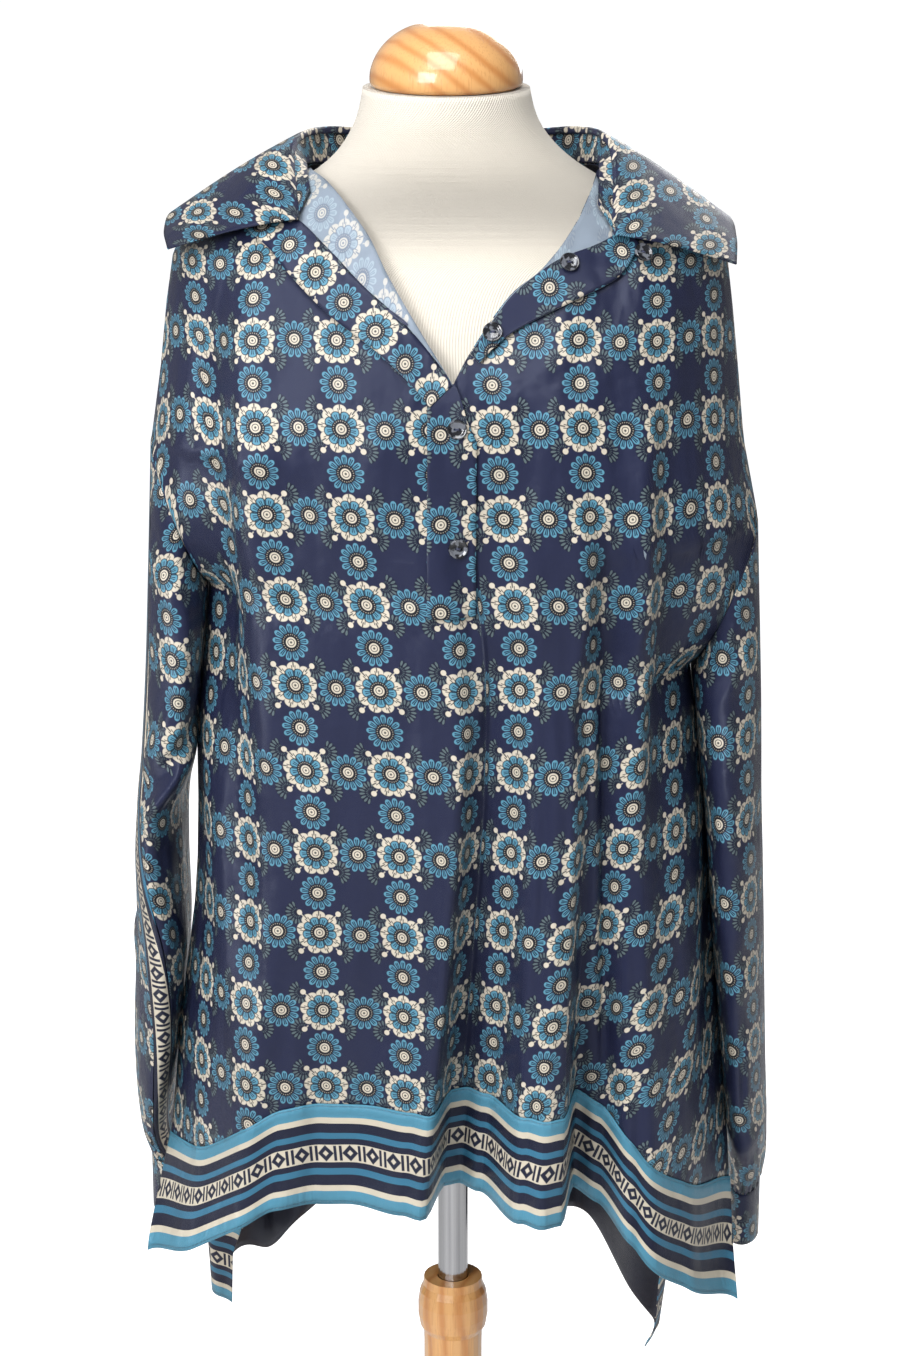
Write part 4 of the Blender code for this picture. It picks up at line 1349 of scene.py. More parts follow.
@dataclass(frozen=True)
class Satin(Finish):
    """Satin: an uneven gloss, a fine weave and small crumples."""

    gloss: tuple[float, float] = (0.25, 0.14)
    sheen: Colour = (0.76, 0.82, 1.0)
    weave: tuple[float, float] = (0.45, 0.90)
    crumples: tuple[tuple[float, Optional[tuple], float], ...] = (
        (46.0, None, 1.3), (26.0, (1.0, 1.0, 0.3), 8.0), (11.0, (1.0, 1.0, 0.4), 12.0),
    )
    crumple_depth: float = 0.0013

    def satin(self, painter: Painter, colour: object, relief: Optional[Wire] = None) -> Surface:
        """Lays the satin's gloss and relief over a colour.

        Args:
            painter: Where the nodes go.
            colour: The cloth's colour socket.
            relief: What stands out besides, such as stitches.

        Returns:
            What the shader takes.
        """
        u, v = painter.cloth_place()
        shade = painter.noise(9.0, 3.0) * 0.22 + 0.86
        grey = painter.node("ShaderNodeCombineColor", {0: shade, 1: shade, 2: shade}).outputs[0]
        layers = {0: 1.0, 6: colour, 7: grey}
        shaded = painter.node("ShaderNodeMix", layers, data_type="RGBA", blend_type="MULTIPLY")
        height = (u.phase(self.weave[0]) + v.phase(self.weave[1])).math("SINE") * 0.03
        for scale, stretch, share in self.crumples:
            height = height + painter.noise(scale, 2.0, stretch) * share
        if relief is not None:
            height = height + relief
        inputs = {
            "Base Color": shaded.outputs[2],
            "Roughness": painter.noise(60.0) * self.gloss[1] + self.gloss[0],
            "Specular IOR Level": 0.36,
            "Specular Tint": self.sheen,
        }
        return Surface(inputs, height, self.crumple_depth)


@dataclass(frozen=True)
class PrintSatin(Satin):
    """The satin's printed side, or the print showing through on its wrong side."""

    colours: PrintColours = RIGHT_SIDE

    def surface(self, painter: Painter) -> Surface:
        """The flower print on satin."""
        return self.satin(painter, FlowerLattice(painter, self.colours).paint(*painter.cloth_place()))


@dataclass(frozen=True)
class ShadedInside(Satin):
    """The back's inner side, painted near-black: a painted shade for an inside that lies in shadow."""

    def surface(self, painter: Painter) -> Surface:
        """Two near darks on satin, as painted shade."""
        # painted shade: near-black instead of the print's pale wrong side
        return self.satin(painter, painter.over(srgb(40, 41, 52), srgb(48, 49, 60), painter.noise(20.0)))


@dataclass(frozen=True)
class BorderSatin(Satin):
    """The striped border with a plain row of lozenges and bars, in millimetres, its stitches, and a
    near-black painted shade for its inner side.
    """

    # How far a near-black painted shade covers the stripes, for an inner side that lies in shadow.
    shade_veil: float = 0.0
    motif_middle: float = 0.488
    motif_reach: float = 0.082
    motif_pitch: float = 17.0
    lozenge_half: float = 5.6
    bar_beside: float = 1.9
    stitch_rows: tuple[float, float] = (2.2, BAND * 1000 - 1.8)

    def stripes(self, painter: Painter, along: Wire, share: Wire) -> Socket:
        """The stripes and the row in their middle.

        Args:
            painter: Where the nodes go.
            along: Place along the border in millimetres.
            share: Place across it, 0 at the seam and 1 at the hem.

        Returns:
            The colour's socket.
        """
        node = painter.node("ShaderNodeValToRGB", {0: share})
        node.color_ramp.interpolation = "CONSTANT"
        stops = node.color_ramp.elements
        while len(stops) < len(BORDER):
            stops.new(0.5)
        for stop, stripe in zip(stops, BORDER):
            stop.position, stop.color = stripe.start, (*stripe.colour, 1)
        rise = abs((share - self.motif_middle) / self.motif_reach)
        cell = abs(along.wrapped(self.motif_pitch)) / self.lozenge_half
        beside = abs((along + self.motif_pitch / 2).wrapped(self.motif_pitch)) - self.bar_beside
        bars = abs(beside).below(1.0, 0.25) * rise.below(0.92, 0.1)
        lozenge, hollow = ((cell + rise).below(size, 0.12) for size in (1.0, 0.36))
        return painter.stack(node.outputs[0], (NAVY, lozenge.either(bars)), (BORDER_CREAM, hollow))

    def surface(self, painter: Painter) -> Surface:
        """The striped satin, puckered along its two rows of stitches.

        Args:
            painter: Where the nodes go.

        Returns:
            What the shader takes.
        """
        wide = BAND * 1000
        u, v = painter.cloth_place()
        colour = self.stripes(painter, u, (v * (-1 / wide)).math("ADD", 1.0))
        first, second = (stitch_row(v, u, at) for at in self.stitch_rows)
        stitches = first.either(second)
        if self.shade_veil:
            # painted shade: the stripes darkened towards near-black
            colour = painter.over(colour, srgb(44, 45, 56), self.shade_veil)
        colour = painter.over(colour, srgb(120, 150, 172), stitches * 0.35)
        pucker = painter.noise(1.0, 2.0, (260.0, 260.0, 30.0))
        near_edge = v.below(13.0, 9.0).either((v * -1.0 + wide).below(6.0, 5.0))
        return self.satin(painter, colour, pucker * near_edge * 0.9 + stitches * -0.5)


@dataclass(frozen=True)
class RibKnit(Finish):
    """The form's cream cover, its ribs and loops in millimetres."""

    rib: float = 1.9
    loop: float = 1.5

    def surface(self, painter: Painter) -> Surface:
        """Ribs of looped stitches, with painted shade in the grooves between the ribs.

        Args:
            painter: Where the nodes go.

        Returns:
            What the shader takes.
        """
        u, v = painter.cloth_place()
        rib = u.phase(self.rib).math("SINE")
        loop = (v.phase(self.loop) + rib).math("SINE")
        # painted shade: the cream is lighter on the rib crests and darker in the grooves between them
        colour = painter.stack(
            srgb(213, 205, 192),
            (srgb(234, 227, 215), rib * 0.5 + 0.5),
            (srgb(210, 202, 187), painter.noise(6.0) * 0.2),
        )
        soft = {"Roughness": 0.88, "Specular IOR Level": 0.25, "Sheen Weight": 0.25}
        return Surface({"Base Color": colour, **soft}, rib * 0.6 + loop * 0.18, 0.00025)


@dataclass(frozen=True)
class Pine(Finish):
    """Varnished pine whose grain runs along an axis that leans by these angles."""

    lean: tuple[float, float, float] = (0.0, 0.0, 0.0)

    def surface(self, painter: Painter) -> Surface:
        """Year rings and pores under varnish.

        Args:
            painter: Where the nodes go.

        Returns:
            What the shader takes.
        """
        coords = painter.node("ShaderNodeTexCoord").outputs["Object"]
        for change in ({"Rotation": self.lean}, {"Scale": (1.0, 1.0, 0.10)}):
            coords = painter.node("ShaderNodeMapping", {**change, "Vector": coords}).outputs[0]
        rings = {"Vector": coords, "Scale": 26.0, "Distortion": 3.4, "Detail": 2.5, "Detail Scale": 1.2}
        grain = painter.number("ShaderNodeTexWave", "Fac", inputs=rings).math("POWER", 2.2)
        pores = painter.noise(900.0, 2.0, (1.0, 1.0, 0.04)).below(0.42, 0.12)
        colour = painter.stack(
            srgb(228, 176, 114),
            (srgb(196, 128, 66), grain),
            (srgb(216, 154, 90), painter.noise(14.0) * 0.6),
            (srgb(182, 116, 58), pores * 0.25),
        )
        varnish = {"Roughness": grain * 0.08 + 0.30, "Coat Weight": 0.8, "Coat Roughness": 0.09}
        return Surface({"Base Color": colour, **varnish}, grain * -0.3 + pores * -0.2, 0.0003)


@dataclass(frozen=True)
class DrawnSteel(Finish):
    """The pole's polished steel, finely drawn along its length, with painted reflection streaks in its
    colour.
    """

    def surface(self, painter: Painter) -> Surface:
        """Streaks along the pole, partly drawn lines and partly painted reflections, and faint smudges.

        Args:
            painter: Where the nodes go.

        Returns:
            What the shader takes.
        """
        streak_and_reflection, smudge = painter.noise(320.0, 2.0, (1.0, 1.0, 0.01)), painter.noise(9.0, 3.0)
        # painted reflection: light and dark streaks in the steel's colour, besides its real drawn lines
        colour = painter.over(srgb(128, 128, 132), srgb(214, 214, 216), streak_and_reflection)
        rough = streak_and_reflection * 0.10 + smudge * 0.06 + 0.06
        return Surface({"Base Color": colour, "Metallic": 1.0, "Roughness": rough}, streak_and_reflection, 0.00006)


@dataclass(frozen=True)
class SmokyResin(Finish):
    """The buttons' smoky clear resin."""

    def surface(self, painter: Painter) -> Surface:
        """Dark swirls in half-clear resin.

        Args:
            painter: Where the nodes go.

        Returns:
            What the shader takes.
        """
        swirl = painter.noise(260.0, 1.0).below(0.46, 0.10)
        colour = painter.over(srgb(26, 28, 36), srgb(128, 132, 142), swirl)
        clear = {"Transmission Weight": 0.35, "IOR": 1.5, "Coat Weight": 0.8}
        return Surface({"Base Color": colour, "Roughness": swirl * 0.06 + 0.06, **clear}, swirl, 0.00003)


@dataclass(frozen=True)
class SewingThread(Finish):
    """Twisted sewing thread."""

    def surface(self, painter: Painter) -> Surface:
        """A fine twist in two blues.

        Args:
            painter: Where the nodes go.

        Returns:
            What the shader takes.
        """
        twist = painter.noise(2400.0, 1.0)
        colour = painter.over(srgb(26, 28, 54), srgb(70, 78, 112), twist)
        return Surface({"Base Color": colour, "Roughness": 0.6, "Sheen Weight": 0.3}, twist, 0.0001)


@dataclass(frozen=True)
class PaleFloor(Finish):
    """The studio's pale floor, a little brighter to the camera than its light makes it."""

    def surface(self, painter: Painter) -> Surface:
        """Matt paper.

        Args:
            painter: Where the nodes go.

        Returns:
            What the shader takes.
        """
        colour = painter.over((0.76, 0.76, 0.76), (0.80, 0.80, 0.80), painter.noise(1.2))
        seen = painter.number("ShaderNodeLightPath", "Is Camera Ray")
        matt = {"Base Color": colour, "Roughness": 0.9, "Specular IOR Level": 0.1}
        return Surface({**matt, "Emission Color": (1, 1, 1), "Emission Strength": seen * 0.8})


class Look(Enum):
    """Every surface of the part and its studio."""

    PRINT = PrintSatin("print_satin")
    WRONG = PrintSatin("print_wrong_side", colours=WRONG_SIDE)
    BORDER = BorderSatin("border_satin")
    # the border's inner side is painted near-black as painted shade
    BORDER_SHADED_INSIDE = BorderSatin("border_shaded_inside", shade_veil=0.93)
    # the back's inner side is painted near-black as painted shade
    INSIDE = ShadedInside("painted_shade_inside")
    KNIT = RibKnit("form_knit")
    CAP_PINE = Pine("cap_pine", (0.5, 0.9, 0.2))
    POST_PINE = Pine("post_pine", (0.05, 0.03, 0.4))
    BASE_PINE = Pine("base_pine", (0.0, 1.57, 0.3))
    STEEL = DrawnSteel("drawn_steel")
    RESIN = SmokyResin("button_resin_clear")
    THREAD = SewingThread("navy_thread")
    FLOOR = PaleFloor("pale_floor")


# ---------------- placing pieces
class Sheet(NamedTuple):
    """How a piece of cloth was cut, in metres, and how it is held."""

    flat: tuple[float, float]
    held: str
    rests_on: Sequence[str]
    area: Optional[float] = None


@dataclass
class Workroom:
    """What every sub-assembly needs: the collection, and the materials made so far."""

    group: bpy.types.Collection
    made: dict[Look, bpy.types.Material] = field(default_factory=dict)

    def material(self, look: Look) -> bpy.types.Material:
        """The material of a look, made when it is first asked for.

        Args:
            look: The look.

        Returns:
            Its material.
        """
        if look not in self.made:
            self.made[look] = look.value.material()
        return self.made[look]

    def piece(
        self, name: str, mesh: Mesh, looks: Sequence[Look], nodes: Sequence[str], slot: str
    ) -> Item:
        """Makes a piece that rides on the form.

        Args:
            name: The piece's name.
            mesh: Its mesh.
            looks: Its looks, the right side's first.
            nodes: The CAD nodes it stands for.
            slot: The record's material slot; not used.

        Returns:
            The object.
        """
        for look in looks:
            mesh.materials.append(self.material(look))
        item = bpy.data.objects.new(name, mesh)
        self.group.objects.link(item)
        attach(item, "form")
        if nodes:
            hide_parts(*nodes)
        log.info("%s: %d points on form", name, len(mesh.vertices))
        return item

    def cloth(
        self, name: str, points: Array, uv: Sequence[Array], sheet: Sheet,
        looks: tuple[Look, Look] = (Look.PRINT, Look.PRINT), nodes: Optional[Sequence[str]] = None,
        slot: str = "print_satin", wall: float = SATIN, closed: bool = False, flip: bool = False,
    ) -> None:
        """Makes a piece of thin cloth.

        Args:
            name: The piece's name before "_cloth".
            points: Its grid of points.
            uv: Its sideways and upward cloth places.
            sheet: Its cut; not used.
            looks: Its right and its wrong side.
            nodes: The CAD nodes it stands for, if not the one of its name.
            slot: The record's material slot; not used.
            wall: Its thickness.
            closed: Whether it is a tube.
            flip: Whether its faces look the other way.
        """
        nodes, name = [name] if nodes is None else nodes, f"{name}_cloth"
        mesh = grid_mesh(name, points, np.stack(np.broadcast_arrays(*uv), axis=-1), closed, flip)
        item = self.piece(name, mesh, looks, nodes, slot)
        sides = item.modifiers.new("two_sides", "SOLIDIFY")
        sides.thickness, sides.offset, sides.material_offset = wall, 0, 1


@dataclass
class Body:
    """Front, back and their striped hem bands."""

    room: Workroom
    columns: int = 170
    rows: tuple[int, int, int] = (52, 70, 10)
    band_rows: int = 14
    band_wall: float = 0.0008
    grain_level: float = 1.10
    pleat_take: float = 0.0157
    pleat_half: float = 0.012
    curl_from: dict[int, float] = field(default_factory=lambda: {LEFT: 0.905, RIGHT: 0.890})
    curl_top: float = 0.735
    curl_height: float = 0.090
    curl_turn: float = 2.7
    curl_radius: float = 0.0050

    def panel(self, name: str, panel: Panel, inside: Look, flat: tuple[float, float]) -> None:
        """Builds the front or the back.

        Args:
            name: Its CAD node.
            panel: Its surface.
            inside: The look of its inner side.
            flat: Its cut.
        """
        shares = fine_shares(self.columns)
        heights = panel.heights(shares, self.rows)
        points = panel.points(np.broadcast_to(shares, heights.shape), heights)
        uv = panel_uv(panel, shares, points, self.grain_level)
        if panel.face == FRONT:
            uv[..., 0] += self.pleat_take * np.clip(shares / self.pleat_half, 0, 1)
        points = self.curled(panel, shares, points)
        cut = Sheet(flat, "draped", ["form_torso"], round(flat_area(points), 3))
        places = (uv[..., 0], uv[..., 1])
        self.room.cloth(name, points, places, cut, (Look.PRINT, inside), flip=panel.face == BACK)

    def curled(self, panel: Panel, shares: Array, points: Array) -> Array:
        """The back's corners rolled in towards the front, where the slits let them turn.

        Args:
            panel: The panel that the points lie on.
            shares: The columns.
            points: Rows of points.

        Returns:
            The rows with their corners rolled.
        """
        if panel.face == FRONT:
            return points
        points = points.copy()
        for side in (LEFT, RIGHT):
            beyond = [j for j in range(len(shares))[::side] if side * shares[j] > self.curl_from[side]]
            root = beyond[0] - side
            amount = np.clip((self.curl_top - points[:, root, 2]) / self.curl_height, 0, 1)
            turn_most = self.curl_turn * amount * amount * (3 - 2 * amount)
            steps = np.diff(points[:, [root] + beyond, :2], axis=1)
            run = np.cumsum(np.linalg.norm(steps, axis=2), axis=1)
            turn = np.minimum(run / self.curl_radius, turn_most[:, None]) * side
            cos, sin = np.cos(turn), np.sin(turn)
            x, y = steps[..., 0], steps[..., 1]
            turned = np.stack([x * cos + y * sin, y * cos - x * sin], axis=-1)
            points[:, beyond, :2] = points[:, [root], :2] + np.cumsum(turned, axis=1)
        return points

    def band(self, name: str, panel: Panel, inside: Look, flat: tuple[float, float]) -> None:
        """Builds one hem band.

        Args:
            name: The CAD node of its panel.
            panel: The surface that it is sewn to.
            inside: The look of its inner side.
            flat: Its cut.
        """
        shares = fine_shares(self.columns)
        hem = smooth(panel.levels, "share", "hem", shares)
        rises = BAND * (1 - np.linspace(0, 1, self.band_rows))[:, None]
        heights = hem + rises
        points = panel.points(np.broadcast_to(shares, heights.shape), heights)
        points = points + panel.face * normals_of(points) * BAND_PROUD
        u = from_column(arc_along(points, 1), middle_of(shares))
        points = self.curled(panel, shares, points)
        self.room.cloth(
            f"{name}_hem_band", points, (u, rises), Sheet(flat, "hung", [f"{name}_cloth"]),
            (Look.BORDER, inside), slot="band_satin", wall=self.band_wall, flip=panel.face == BACK,
        )

    def build(self) -> None:
        """Builds the panels and bands."""
        self.panel("front", FRONT_PANEL, Look.WRONG, (0.73, 0.78))
        self.band("front", FRONT_PANEL, Look.BORDER_SHADED_INSIDE, (0.70, BAND))
        self.panel("back", BACK_PANEL, Look.INSIDE, (0.63, 0.90))
        self.band("back", BACK_PANEL, Look.INSIDE, (0.64, BAND))


@dataclass
class Sleeves:
    """Both sleeves, each with the striped strip let in down it, and the cuffs."""

    room: Workroom
    round_steps: int = 112
    strip_steps: int = 18
    rows: int = 150
    cuff_rows: int = 14
    gathers: tuple[int, int] = (22, 13)
    gather_depth: float = 0.0013
    gather_height: float = 0.055
    smooth_rows: int = 6
    cuff_slant: float = 0.18
    cuff_gap: float = 0.0008
    cuff_wall: float = 0.0010
    seam_gap: float = 0.00066
    cuts: dict[int, tuple[float, float]] = field(
        default_factory=lambda: {LEFT: (0.31, 0.53), RIGHT: (0.29, 0.53)}
    )
    strip_cut: tuple[float, float] = (0.045, 0.53)
    cuff_cut: tuple[float, float] = (0.215, CUFF)

    def armhole(self, side: int, turn: Array) -> Array:
        """The armhole's line.

        Args:
            side: LEFT or RIGHT.
            turn: Shares of a turn, 0 at the top and a quarter at the front.

        Returns:
            Its points.
        """
        hole = ARMHOLES[side]
        angle = 2 * math.pi * turn
        rise = (1 + np.cos(angle)) / 2
        x = side * (hole.foot_x + (hole.top_x - hole.foot_x) * rise)
        z = hole.foot_height + (hole.top_height - hole.foot_height) * rise
        return np.stack([x, -ARMHOLE_DEPTH * np.sin(angle), z], axis=-1)

    def ring(self, ring: Ring, side: int, turn: Array) -> Array:
        """A section of the sleeve.

        Args:
            ring: The section's sizes.
            side: LEFT or RIGHT.
            turn: Shares of a turn.

        Returns:
            Its points.
        """
        angle = 2 * math.pi * (turn + ring.twist)
        middle, reach = (ring.outer + ring.inner) / 2, (ring.outer - ring.inner) / 2
        lean = ring.lean * np.clip(np.sin(angle), 0, None) ** 1.5
        x = side * (middle + reach * np.cos(angle) - lean)
        y = ring.centre - ring.depth * np.sin(angle)
        return np.stack([x, y, np.full_like(x, ring.height)], axis=-1)

    def tube(self, side: int, turn: Array) -> Array:
        """The tube from armhole to cuff, with its creases and the gathers above the cuff.

        Args:
            side: LEFT or RIGHT.
            turn: Shares of a turn.

        Returns:
            Rows of points.
        """
        rings = SLEEVE_RINGS[side]
        turned = turn + rings[0].twist
        start = self.armhole(side, turned)
        under = (1 - np.cos(2 * math.pi * turned)) / 2
        start[..., 0] += side * (SLEEVE_CLEAR + UNDERARM_CLEAR * under**4)
        start[..., 2] -= SLEEVE_CLEAR
        knots = np.stack([start] + [self.ring(ring, side, turn) for ring in rings])
        along = np.linspace(0, len(rings), self.rows)
        points = hermite(np.arange(len(knots), dtype=float), knots, along)
        place = np.mod(np.broadcast_to(turned, points.shape[:2]), 1.0)
        push = crease_push(place, points[..., 2], SLEEVE_CREASES[side])
        over_cuff = rings[-1].height + self.gather_height - points[..., 2]
        near = np.clip(over_cuff / self.gather_height, 0, 1) ** 1.5
        wave, ripple = (np.sin(2 * math.pi * n * turn + k) for k, n in enumerate(self.gathers))
        push = push + self.gather_depth * near * (wave + 0.5 * ripple)
        top = np.clip(np.arange(self.rows) / self.smooth_rows, 0, 1)[:, None]
        way = points - points.mean(axis=1, keepdims=True)
        way[..., 2] = 0
        return points + unit(way) * (push * top)[..., None]

    def sleeve(self, side: int, name: str) -> None:
        """Builds one sleeve's printed part, with a seam's gap beside the strip.

        Args:
            side: LEFT or RIGHT.
            name: The side's name.
        """
        points = self.tube(side, np.linspace(STRIP_TURN, 1 - STRIP_TURN, self.round_steps))
        for edge, inner in ((0, 1), (-1, -2)):
            way = points[:, inner] - points[:, edge]
            points[:, edge] += way / np.linalg.norm(way, axis=1, keepdims=True) * self.seam_gap
        u = arc_along(points, 1)
        cut = Sheet(self.cuts[side], "hung", ["front_cloth"], round(flat_area(points), 3))
        self.room.cloth(
            f"sleeve_{name}", points, (u - u.mean(axis=1, keepdims=True), points[..., 2]), cut,
            (Look.PRINT, Look.WRONG), [f"sleeve_{name}_upper", f"sleeve_{name}_lower"],
            flip=side == RIGHT,
        )

    def strip(self, side: int, name: str) -> None:
        """Builds one sleeve's striped strip.

        Args:
            side: LEFT or RIGHT.
            name: The side's name.
        """
        points = self.tube(side, np.linspace(-STRIP_TURN, STRIP_TURN, self.strip_steps))
        u = arc_along(points, 1)
        u = u - u.mean(axis=1, keepdims=True) + BAND / 2
        nodes = [f"sleeve_strip_{name}_{length}" for length in ("upper", "middle", "lower")]
        self.room.cloth(
            f"sleeve_strip_{name}", points, (points[..., 2], u),
            Sheet(self.strip_cut, "hung", [f"sleeve_{name}_cloth"]), (Look.BORDER, Look.BORDER_SHADED_INSIDE),
            nodes, slot="band_satin", flip=side == RIGHT,
        )

    def cuff(self, side: int, name: str) -> None:
        """Builds one cuff.

        Args:
            side: LEFT or RIGHT.
            name: The side's name.
        """
        last = SLEEVE_RINGS[side][-1]
        turns = np.arange(self.round_steps) / self.round_steps
        drops = np.linspace(self.cuff_gap, CUFF, self.cuff_rows)
        ease = np.interp(drops, [self.cuff_gap, CUFF / 2, CUFF], [1.0, 0.97, 0.98])
        points = np.array([
            self.ring(last._replace(height=last.height - drop, depth=last.depth * part), side, turns)
            for drop, part in zip(drops, ease)
        ])
        around = closed_row(points)
        points[..., 2] += -self.cuff_slant * (points[..., 1] - last.centre) * (drops / CUFF)[:, None]
        uv = (arc_along(around, 1), around[..., 2])
        self.room.cloth(
            f"cuff_{name}", points, uv, Sheet(self.cuff_cut, "hung", [f"sleeve_{name}_cloth"]),
            (Look.PRINT, Look.WRONG), wall=self.cuff_wall, closed=True, flip=side == RIGHT,
        )

    def build(self) -> None:
        """Builds the sleeves, strips and cuffs."""
        for side, name in SIDES:
            for make in (self.sleeve, self.strip, self.cuff):
                make(side, name)


@dataclass
class Collar:
    """Collar stand, fall, and the fronts' turned-back edges with their facings."""

    room: Workroom
    columns: int = 170
    stand_rows: int = 12
    stand_rise: float = 0.9
    stand_wall: float = 0.0009
    fall_rows: int = 34
    fall_wall: float = 0.0011
    roll: float = 0.0012
    roll_rises: tuple[float, ...] = (0.84, 0.92, 0.98)
    lapel_steps: tuple[int, int] = (16, 70)
    facing_steps: tuple[int, int] = (12, 70)
    facing_proud: float = 0.0008
    facing_wall: float = 0.0006
    lapel_cuts: dict[int, tuple[float, float]] = field(
        default_factory=lambda: {LEFT: (0.050, 0.165), RIGHT: (0.032, 0.165)}
    )
    facing_cuts: dict[int, tuple[float, float]] = field(
        default_factory=lambda: {LEFT: (0.030, 0.160), RIGHT: (0.024, 0.150)}
    )

    def lines(self) -> list[Array]:
        """Points of the neck seam, the fold and the outer edge."""
        shares, keys = np.linspace(0, 1, self.columns), column(COLLAR, "share")
        return [hermite(keys, column(COLLAR, which), shares) for which in ("seam", "fold", "out")]

    def stand(self) -> None:
        """Builds the stand."""
        seam, fold, _ = self.lines()
        rises = np.linspace(0, self.stand_rise, self.stand_rows)
        points = np.array([seam + (fold - seam) * rise for rise in rises])
        uv = (arc_along(points, 1)[self.stand_rows // 2], -arc_along(points, 0))
        cut = Sheet((0.43, 0.019), "draped", ["front_cloth", "back_cloth"])
        self.room.cloth("collar_stand", points, uv, cut, wall=self.stand_wall)

    def fall(self) -> None:
        """Builds the fall, rolled over the stand's upper edge."""
        seam, fold, out = self.lines()
        bulge = FALL_BULGE * np.abs(2 * np.linspace(0, 1, self.columns) - 1) ** 4
        inward = (fold - out) * (1, 1, 0)
        inward *= self.roll / np.linalg.norm(inward, axis=1, keepdims=True)
        rows = [seam + (fold - seam) * rise + inward for rise in self.roll_rises]
        rows.append(fold + inward * 0.6 + np.array([0, 0, self.roll * 0.5]))
        for across in np.linspace(0, 1, self.fall_rows):
            arch = math.sin(math.pi * across**0.8)
            row = fold + (out - fold) * across
            row[:, 1] -= arch * bulge
            row[:, 2] += arch * FALL_ARCH + self.roll * 0.6 * (1 - across) ** 8
            rows.append(row)
        points = np.array(rows)
        uv = (from_column(arc_along(points, 1), self.columns // 2), -arc_along(points, 0))
        cut = Sheet((0.58, 0.090), "folded", ["collar_stand_cloth", "front_cloth", "back_cloth"])
        self.room.cloth("collar_fall", points, uv, cut, wall=self.fall_wall)

    def edge_grid(self, side: int, facing: bool) -> tuple[Array, tuple[Array, Array]]:
        """A turned-back edge, or the facing along its free side.

        Args:
            side: LEFT or RIGHT.
            facing: Whether it is the facing.

        Returns:
            Its points and cloth places.
        """
        rows, columns = self.facing_steps if facing else self.lapel_steps
        proud = PROUD + (self.facing_proud if facing else 0.0)
        table_rows = LAPELS[side]
        lines = [
            [float(smooth(table_rows, "place", name, place)) for name in LapelLine._fields[1:]]
            for place in np.linspace(0, table_rows[-1].place, columns)
        ]
        grid = []
        for part in np.linspace(0, 1, rows):
            row = []
            for roll_x, roll_z, free_x, free_z, start in lines:
                begin = start if facing else 0.0
                share = begin + (1 - begin) * part
                x = side * (roll_x + (free_x - roll_x) * share)
                row.append(on_front(x, roll_z + (free_z - roll_z) * share, proud)[0])
            grid.append(row)
        points = np.array(grid)
        return points, (side * arc_along(points, 0), -arc_along(points, 1))

    def lapels(self) -> None:
        """Builds both turned-back edges: the wrong side of the front and the facing sewn along it."""
        for side, name in SIDES:
            self.room.cloth(
                f"lapel_{name}", *self.edge_grid(side, facing=False),
                Sheet(self.lapel_cuts[side], "folded", ["front_cloth"]), (Look.WRONG, Look.PRINT),
                slot="facing_satin", flip=side == RIGHT,
            )
            self.room.cloth(
                f"facing_{name}", *self.edge_grid(side, facing=True),
                Sheet(self.facing_cuts[side], "folded", [f"lapel_{name}_cloth"]), nodes=[],
                wall=self.facing_wall, flip=side == RIGHT,
            )

    def build(self) -> None:
        """Builds the collar's pieces."""
        self.stand()
        self.fall()
        self.lapels()


class ButtonPlace(NamedTuple):
    """A button's CAD node, its place seen from the front, and how far it stands out."""

    node: str
    x: float
    height: float
    proud: float


